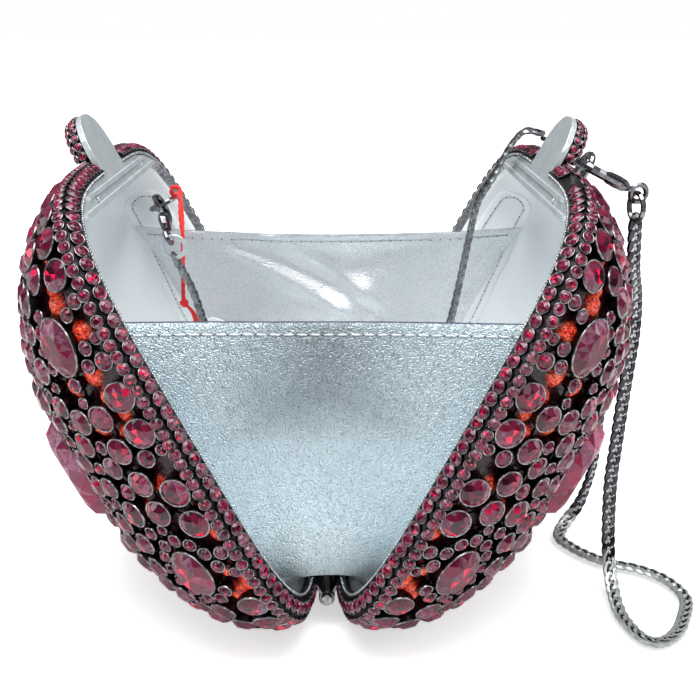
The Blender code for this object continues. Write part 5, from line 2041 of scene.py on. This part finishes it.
        # Painted shade on the bright links' inner faces, and a painted highlight on the dark links' upper
        # ends.
        inside = np.hypot(middles[:, 0] / half, middles[:, 1] / wide) < self.inside_share
        glint = np.abs(middles[:, 0]) > half * self.glint_from
        glint &= middles[:, 2] > self.flat * self.glint_above
        bright_slots, dark_slots = np.where(inside, 1, 0).tolist(), np.where(glint, 0, 1).tolist()
        build = MeshBuilder()
        for i in range(count):
            spot = (i + 0.5) * pitch + template[:, 0]
            spill = (np.clip(spot, 0, total) - spot)[:, None]
            tangent = unit(read_at(spot, along, ahead))
            high = unit(read_at(spot, along, up))
            high = unit(high - tangent * (high * tangent).sum(1, keepdims=True))
            across = np.cross(high, tangent)
            centre = read_at(spot, along, line) - tangent * spill
            build.add(centre + across * template[:, 1:2] + high * template[:, 2:3], link_faces)
            is_brightly_lit = brightly_lit[0] <= (i + 0.5) / count <= brightly_lit[1]
            build.slots[-len(link_faces):] = bright_slots if is_brightly_lit else dark_slots
        return build.build(name, [finish, self.finishes.chain_shaded_dark], 34.0)


@dataclass
class TabPave(ShellPart):
    """The domed plaque on the back of a finger tab, set all over with small stones."""

    width: float = 0.025
    height: float = 0.0126
    squareness: float = 2.3
    back: float = 0.0027
    thickness: float = 0.0034
    margin: float = 0.0007
    foot: float = 0.0014
    stone: float = 0.0022
    stone_rise: float = 0.001
    row_gap: float = 0.0003
    field_gap: float = 0.00035
    field_share: float = 0.95
    field_rows: int = 6
    field_half: int = 7
    row_share: float = 0.87
    crowd_share: float = 0.93
    outline_end: float = 0.1
    outline_steps: int = 240
    edge_rows: tuple[Spot, ...] = ((0.0, 0.3, 0.12), (0.0007, 0.84, 1.1))
    layers: tuple[tuple[float, float], ...] = (
        (0.0, 0.0), (0.0, 0.58), (0.0006, 0.84), (0.0014, 0.97), (0.003, 1.0),
    )
    cutter: StoneCutter = StoneCutter(bezel_out=0.00016, bezel_in=0.0001, cup_sink=0.0006)
    seed: int = 31

    def __post_init__(self) -> None:
        """Starts the plaque, its stones and the list of their places."""
        super().__post_init__()
        self.base = self.form.rim_bottom + self.form.rim_height
        self.plaque, self.gems = MeshBuilder(), MeshBuilder()
        self.placed: list[Points] = []
        self.rng = np.random.default_rng(self.seed)

    def outline(self, margin: float, turn: Points) -> tuple[Points, Points]:
        """The tab's rounded outline, drawn in by a margin.

        Args:
            margin: How far it is drawn in.
            turn: Angles round it.

        Returns:
            Places along and above the rim.
        """
        half = self.width / 2 - margin
        power = 2.0 / self.squareness
        cosine, sine = np.cos(turn), np.sin(turn)
        y = half * np.sign(cosine) * np.abs(cosine) ** power
        high = (self.height - margin) * np.abs(sine) ** power
        return y, np.maximum(high, self.foot)

    def at(self, y: Points, high: Points, share: float) -> Points:
        """Places at a share of the plaque's thickness."""
        return self.form.opened(y, self.base + high, self.back + self.thickness * share)

    def set_stone(self, spot: Points, share: float, normal: Points, along: Points) -> None:
        """Sets one stone in its cup.

        Args:
            spot: Its place along and above the rim.
            share: Its share of the plaque's thickness.
            normal: Where it looks.
            along: A direction across it.
        """
        frame = (self.at(spot[0], spot[1], share), normal, along, np.cross(normal, along))
        size = (self.stone, self.stone, self.stone_rise)
        self.cutter.stone(self.gems, frame, size, self.rng.uniform(0, 6), 6, self.rng)
        self.cutter.cup(self.plaque, frame, size, 14)
        self.placed.append(spot)

    def edge_row(self, margin: float, share: float, tilt: float) -> None:
        """Sets a row of stones along the outline.

        Args:
            margin: How far the row is drawn in.
            share: Its share of the plaque's thickness.
            tilt: How far the stones look to the back.
        """
        form, hinge_way = self.form, np.array((0.0, 1.0, 0.0))
        turn = np.linspace(math.pi - self.outline_end, self.outline_end, self.outline_steps)
        line = np.stack(self.outline(margin, turn), axis=1)
        along = travelled(line)
        count = int(along[-1] / (self.stone + self.row_gap))
        for i in range(count):
            where = along[-1] * (i + 0.5) / count
            spot, ahead = read_at(np.array((where, where + 2e-4)), along, line)
            ahead = unit(ahead - spot)
            outward = hinge_way * -ahead[1] + form.up * ahead[0]
            if outward @ (hinge_way * spot[0] + form.up * (spot[1] - self.height * 0.3)) < 0:
                outward = -outward
            self.set_stone(spot, share, unit(form.out * tilt + outward), unit(np.cross(outward, form.out)))

    def middle_field(self) -> None:
        """Sets the rows of stones inside the edge rows."""
        pitch = self.stone + self.field_gap
        limits = np.array((self.width / 2 - self.stone, self.height - self.stone))
        for row in range(self.field_rows):
            level = self.foot + self.stone / 2 + row * pitch * self.row_share
            for column in range(-self.field_half, self.field_half + 1):
                spot = np.array(((column + 0.5 * (row % 2)) * pitch, level))
                is_out = (np.abs(spot / limits) ** self.squareness).sum() > 1.0
                nearest = min(np.linalg.norm(spot - other) for other in self.placed)
                if is_out or nearest < pitch * self.crowd_share:
                    continue
                self.set_stone(spot, self.field_share, self.form.out, np.array((0.0, 1.0, 0.0)))

    def build(self) -> None:
        """Makes and mounts the plaque and its stones."""
        word, finishes = self.side.word, self.finishes
        turn = np.linspace(math.pi, 0.0, 60)
        loops = [self.at(*self.outline(self.margin + margin, turn), share) for margin, share in self.layers]
        faces = grid_faces(len(loops), len(turn), True)
        faces.append(tuple((len(loops) - 1) * len(turn) + j for j in range(len(turn))))
        faces.append(tuple(range(len(turn) - 1, -1, -1)))
        self.plaque.add(np.concatenate(loops), faces, 1)
        for inward, share, tilt in self.edge_rows:
            self.edge_row(self.margin + inward, share, tilt)
        self.middle_field()
        plaque = self.plaque.build(f"{word}_tab_plaque", [finishes.bezel, finishes.cup], 40.0)
        self.mount(plaque, "crystal", "tab_pave")
        self.mount(self.gems.build(f"{word}_tab_stones", [finishes.crystal], None, tone=True), "crystal")


@dataclass
class SwingTag:
    """The red string with its knot, and the cut-cornered card that hangs from it."""

    finishes: Finishes
    route: Route = (
        (-0.05098, 0.0501, 0.10522), (-0.0499, 0.0489, 0.1066), (-0.0486, 0.047, 0.1058),
        (-0.0478, 0.045, 0.102), (-0.0475, 0.0428, 0.095), (-0.0477, 0.042, 0.083),
        (-0.048, 0.042, 0.075), (-0.0479, 0.042, 0.0701),
    )
    second_strand: Route = (
        (-0.05098, 0.0501, 0.10522), (-0.0516, 0.0494, 0.107), (-0.0513, 0.049, 0.1084),
        (-0.05, 0.0492, 0.1089), (-0.0485, 0.049, 0.1076), (-0.0483, 0.0455, 0.103),
        (-0.048, 0.0435, 0.0985), (-0.0475, 0.0428, 0.095),
    )
    diameter: float = 0.0015
    lay: float = 0.0046
    step: float = 0.0008
    tails: Route = ((0.005, -0.0004, -0.0076), (0.0036, 0.0002, -0.007))
    tail_radius: float = 0.0005
    knot_radius: float = 0.00055
    card_offset: Spot = (0.0035, 0.0, -0.005)
    card_width: float = 0.02
    card_length: float = 0.032
    card_thickness: float = 0.0005
    card_corner: float = 0.004
    lean: float = math.radians(24.0)

    def build(self) -> None:
        line = smooth_line(np.array(self.route), self.step)
        build = MeshBuilder()
        self.spin(build, line)
        string = build.build("swing_tag_string", [self.finishes.string], 60.0)
        knot = self.knot(line[-1])
        card = self.card(line[-1])
        for piece, slot in ((string, "thread"), (knot, "thread"), (card, "card")):
            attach(piece, "left_shell")
        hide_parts("tag_string")
        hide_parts("hang_tag")

    def spin(self, build: MeshBuilder, line: Points) -> None:
        """Adds two strands spun round each other along a line.

        Args:
            build: The mesh that takes them.
            line: The line.
        """
        normals, sideways = carried_frames(line)
        for phase in (0.0, math.pi):
            turn = (phase + travelled(line) / self.lay * TURN)[:, None]
            strand = line + self.diameter * 0.15 * (np.cos(turn) * normals + np.sin(turn) * sideways)
            build.tube(strand, self.diameter * 0.35, 8)

    def knot(self, foot: Points) -> Piece:
        """Makes the overhand knot, its two tails and the second strand through the wire loop.

        Args:
            foot: The end of the string.

        Returns:
            The piece.
        """
        build = MeshBuilder()
        self.spin(build, smooth_line(np.array(self.second_strand), self.step))
        turn = np.linspace(0.0, TURN, 40, endpoint=False)
        centre = foot + np.array((0.0, 0.0, 0.0012))
        x, y, z = 0.001 * np.cos(2 * turn), 0.0006 * np.sin(turn) - 0.0002, 0.0009 * np.sin(3 * turn)
        build.tube(np.stack([x, y, z], axis=1) + centre, self.knot_radius, 8, closed=True)
        for way in self.tails:
            end = centre + np.array(way)
            middle = (centre + end) / 2 + np.array((0.0007, 0.0, 0.0005))
            build.tube(smooth_line(np.array([centre, middle, end]), 0.0006), self.tail_radius, 7)
        return build.build("swing_tag_knot", [self.finishes.string], 60.0)

    def card(self, foot: Points) -> Piece:
        """Makes the card, its corners cut and its edges eased.

        Args:
            foot: The end of the string.

        Returns:
            The piece.
        """
        half, corner, low = self.card_width / 2, self.card_corner, -self.card_length
        outline = np.array((
            (-half + corner, 0.0), (half - corner, 0.0), (half, -corner), (half, low), (-half, low),
            (-half, -corner),
        ))
        across = np.array((math.cos(self.lean), 0.0, math.sin(self.lean)))
        up = np.array((-math.sin(self.lean), 0.0, math.cos(self.lean)))
        top = foot - up * (0.0003 + self.diameter / 2) + np.array(self.card_offset)
        loops = []
        middle = outline.mean(0)
        for shrink, lift in ((0.985, -0.5), (1.0, -0.3), (1.0, 0.3), (0.985, 0.5)):
            x, y = (middle + (outline - middle) * shrink).T
            out = np.array((0.0, self.card_thickness * lift, 0.0))
            loops.append(top + np.outer(x, across) + np.outer(y, up) + out)
        build = MeshBuilder()
        build.add(np.concatenate(loops), tube_faces(len(loops), len(outline)))
        return build.build("swing_tag_card", [self.finishes.card], 20.0)


@dataclass
class Fittings:
    """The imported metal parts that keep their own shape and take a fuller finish."""

    finishes: Finishes
    plate_ease: float = 0.00022
    ease: float = 0.00015
    sharp: float = math.radians(35.0)

    def build(self) -> int:
        """Gives each fitting its finish and eases its edges.

        Returns:
            The number of fittings.
        """
        nickel, gunmetal, clasp = self.finishes.nickel, self.finishes.gunmetal, self.finishes.clasp
        kinds = {
            "clasp_plate": (nickel, self.plate_ease),
            "near_rivet": (nickel, self.ease),
            "far_rivet": (nickel, self.ease),
            "hinge_leaf": (gunmetal, self.ease),
            "strap_loop": (gunmetal, 0.0),
            "clasp_body": (clasp, 0.0),
            "clasp_eye": (clasp, 0.0),
            "jump_ring": (gunmetal, 0.0),
            "clasp_lever": (clasp, 0.0),
        }
        parts = {f"{side.word}_{kind}": dressing for side in Side for kind, dressing in kinds.items()}
        parts["hinge_pin"] = (self.finishes.bead, self.ease)
        parts["left_jump_ring"] = (nickel, 0.0)
        for node, (finish, ease) in parts.items():
            self.dress(node, finish, ease)
        return len(parts)

    def dress(self, node: str, finish: Material, ease: float) -> None:
        """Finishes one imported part.

        Args:
            node: Its name.
            finish: Its material.
            ease: The width of its eased edges.
        """
        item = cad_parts[node]
        item.data.materials.clear()
        item.data.materials.append(finish)
        if ease:
            weld = item.modifiers.new("weld", "WELD")
            weld.merge_threshold = 0.00002
            eased = item.modifiers.new("ease", "BEVEL")
            eased.width = ease
            eased.segments = 2
            eased.limit_method = "ANGLE"
            eased.angle_limit = self.sharp
            eased.harden_normals = False


@dataclass
class Studio:
    """The pale floor, the soft lights and the camera."""

    place: Spot = (0.0021, -0.2945, 0.1647)
    pitch: float = math.radians(17.03)
    yaw: float = -0.0153
    roll: float = 0.0058
    lens: float = 54.0
    shift: float = -0.027
    near_glow: float = 0.58
    floor_reach: float = 6.0
    room_low: Colour = (0.2, 0.21, 0.22)
    room_high: Colour = (0.92, 0.94, 0.96)
    room_light: float = 0.42
    target: Spot = (0.0, 0.0, 0.06)

    def build(self) -> None:
        """Makes the studio."""
        scene = bpy.context.scene
        scene.view_settings.view_transform = "Standard"
        self.camera(scene)
        self.floor()
        self.world(scene)
        warm, cool = (1.0, 0.99, 0.98), (0.98, 0.99, 1.0)
        self.lamp("top_softbox", (0.0, -0.22, 0.95), (0.8, 0.8), 13.0, (1.0, 1.0, 1.0))
        self.lamp("front_softbox", (0.2, -0.9, 0.75), (0.5, 0.5), 1.5, warm)
        self.lamp("left_softbox", (-0.85, -0.35, 0.42), (0.35, 0.6), 2.2, cool)
        self.lamp("right_softbox", (0.9, -0.15, 0.45), (0.35, 0.6), 2.0, cool)

    def camera(self, scene: bpy.types.Scene) -> None:
        """Makes the camera at the picture's viewpoint.

        Args:
            scene: The scene that looks through it.
        """
        data = bpy.data.cameras.new("camera")
        data.lens, data.sensor_width, data.shift_y = self.lens, 36.0, self.shift
        data.clip_start, data.clip_end = 0.01, 20.0
        item = bpy.data.objects.new("camera", data)
        scene.collection.objects.link(item)
        yaw, roll = Matrix.Rotation(self.yaw, 4, "Z"), Matrix.Rotation(self.roll, 4, "Z")
        tilt = Matrix.Rotation(math.pi / 2 - self.pitch, 4, "X")
        item.matrix_world = Matrix.Translation(self.place) @ (yaw @ tilt @ roll)
        scene.camera = item

    def floor(self) -> None:
        """Makes the floor."""
        build = MeshBuilder()
        corners = np.array(((-1, -1, 0), (1, -1, 0), (1, 1, 0), (-1, 1, 0)), float)
        build.add(corners * self.floor_reach, [(0, 1, 2, 3)])
        mix = Recipe("studio_floor")
        grain = mix.noise(40.0, 2.0)
        away = mix.node("VectorMath", {0: mix.place}, operation="LENGTH").outputs["Value"]
        seen = mix.node("LightPath").outputs["Is Camera Ray"]
        glow = mix.maths("MULTIPLY", seen, mix.span(away, 0.1, 0.4, self.near_glow, 1.0))
        mix.fixed(Roughness=0.9, Emission_Color=(1.0, 1.0, 1.0, 1.0))
        mix.wire(
            Base_Color=mix.blend(mix.span(grain, 0.3, 0.7), (0.93, 0.93, 0.93, 1.0), (0.9, 0.9, 0.9, 1.0)),
            Emission_Strength=glow,
        )
        item = build.build("studio_floor", [mix.material])
        item.location.z = -0.0001

    def world(self, scene: bpy.types.Scene) -> None:
        """Lights the room softly and shows the camera plain white.

        Args:
            scene: The scene that stands in it.
        """
        world = bpy.data.worlds.new("studio")
        scene.world = world
        mix = NodeTree(world)
        mix.tree.nodes.clear()
        height = mix.node("SeparateXYZ", {0: mix.node("TexCoord").outputs["Generated"]}).outputs["Z"]
        band = mix.node("ValToRGB", {"Fac": height})
        low, high = band.color_ramp.elements
        low.position, low.color = 0.0, (*self.room_low, 1.0)
        high.position, high.color = 0.9, (*self.room_high, 1.0)
        feeds = {"Color": band.outputs["Color"], "Strength": self.room_light}
        room = mix.node("Background", feeds).outputs[0]
        white = mix.node("Background", {"Color": (1.0, 1.0, 1.0, 1.0), "Strength": 1.0}).outputs[0]
        seen = mix.node("LightPath").outputs["Is Camera Ray"]
        mix.node("OutputWorld", {"Surface": mix.node("MixShader", {0: seen, 1: room, 2: white}).outputs[0]})

    def lamp(
        self, name: str, place: Spot, size: tuple[float, float], power: float, colour: Colour
    ) -> None:
        """Adds a soft rectangular lamp that looks at the clutch.

        Args:
            name: Its name.
            place: Where it stands.
            size: Its width and height.
            power: Its power in watts.
            colour: Its colour.
        """
        data = bpy.data.lights.new(name, "AREA")
        data.shape = "RECTANGLE"
        data.size, data.size_y = size
        data.energy = power
        data.color = colour
        item = bpy.data.objects.new(name, data)
        bpy.context.scene.collection.objects.link(item)
        item.location = place
        way = Vector(self.target) - Vector(place)
        item.rotation_euler = way.to_track_quat("-Z", "Y").to_euler()


def main() -> None:
    """Builds the sub-assemblies in order and reports each one."""
    logging.basicConfig(level=logging.INFO, format="%(name)s: %(message)s", stream=sys.stdout)
    Studio().build()
    LOG.info("studio set")
    finishes = Finishes()
    Strap(finishes).build()
    LOG.info("chain strap laid")
    SwingTag(finishes).build()
    LOG.info("swing tag hung")
    for side in Side:
        count = JewelShell(side, finishes).build()
        LOG.info("%s shell set with %d stones", side.word, count)
        RimDressing(side, finishes).build()
        Lining(side, finishes).build()
        TabPave(side, finishes).build()
        LOG.info("%s rim, lining and tab dressed", side.word)
    for end in End:
        Gusset(end, finishes).build()
        LOG.info("%s gusset hung", end.word)
    BaseStrip(finishes).build()
    LOG.info("base strip laid")
    LOG.info("%d fittings finished", Fittings(finishes).build())


if __name__ == "__main__":
    main()
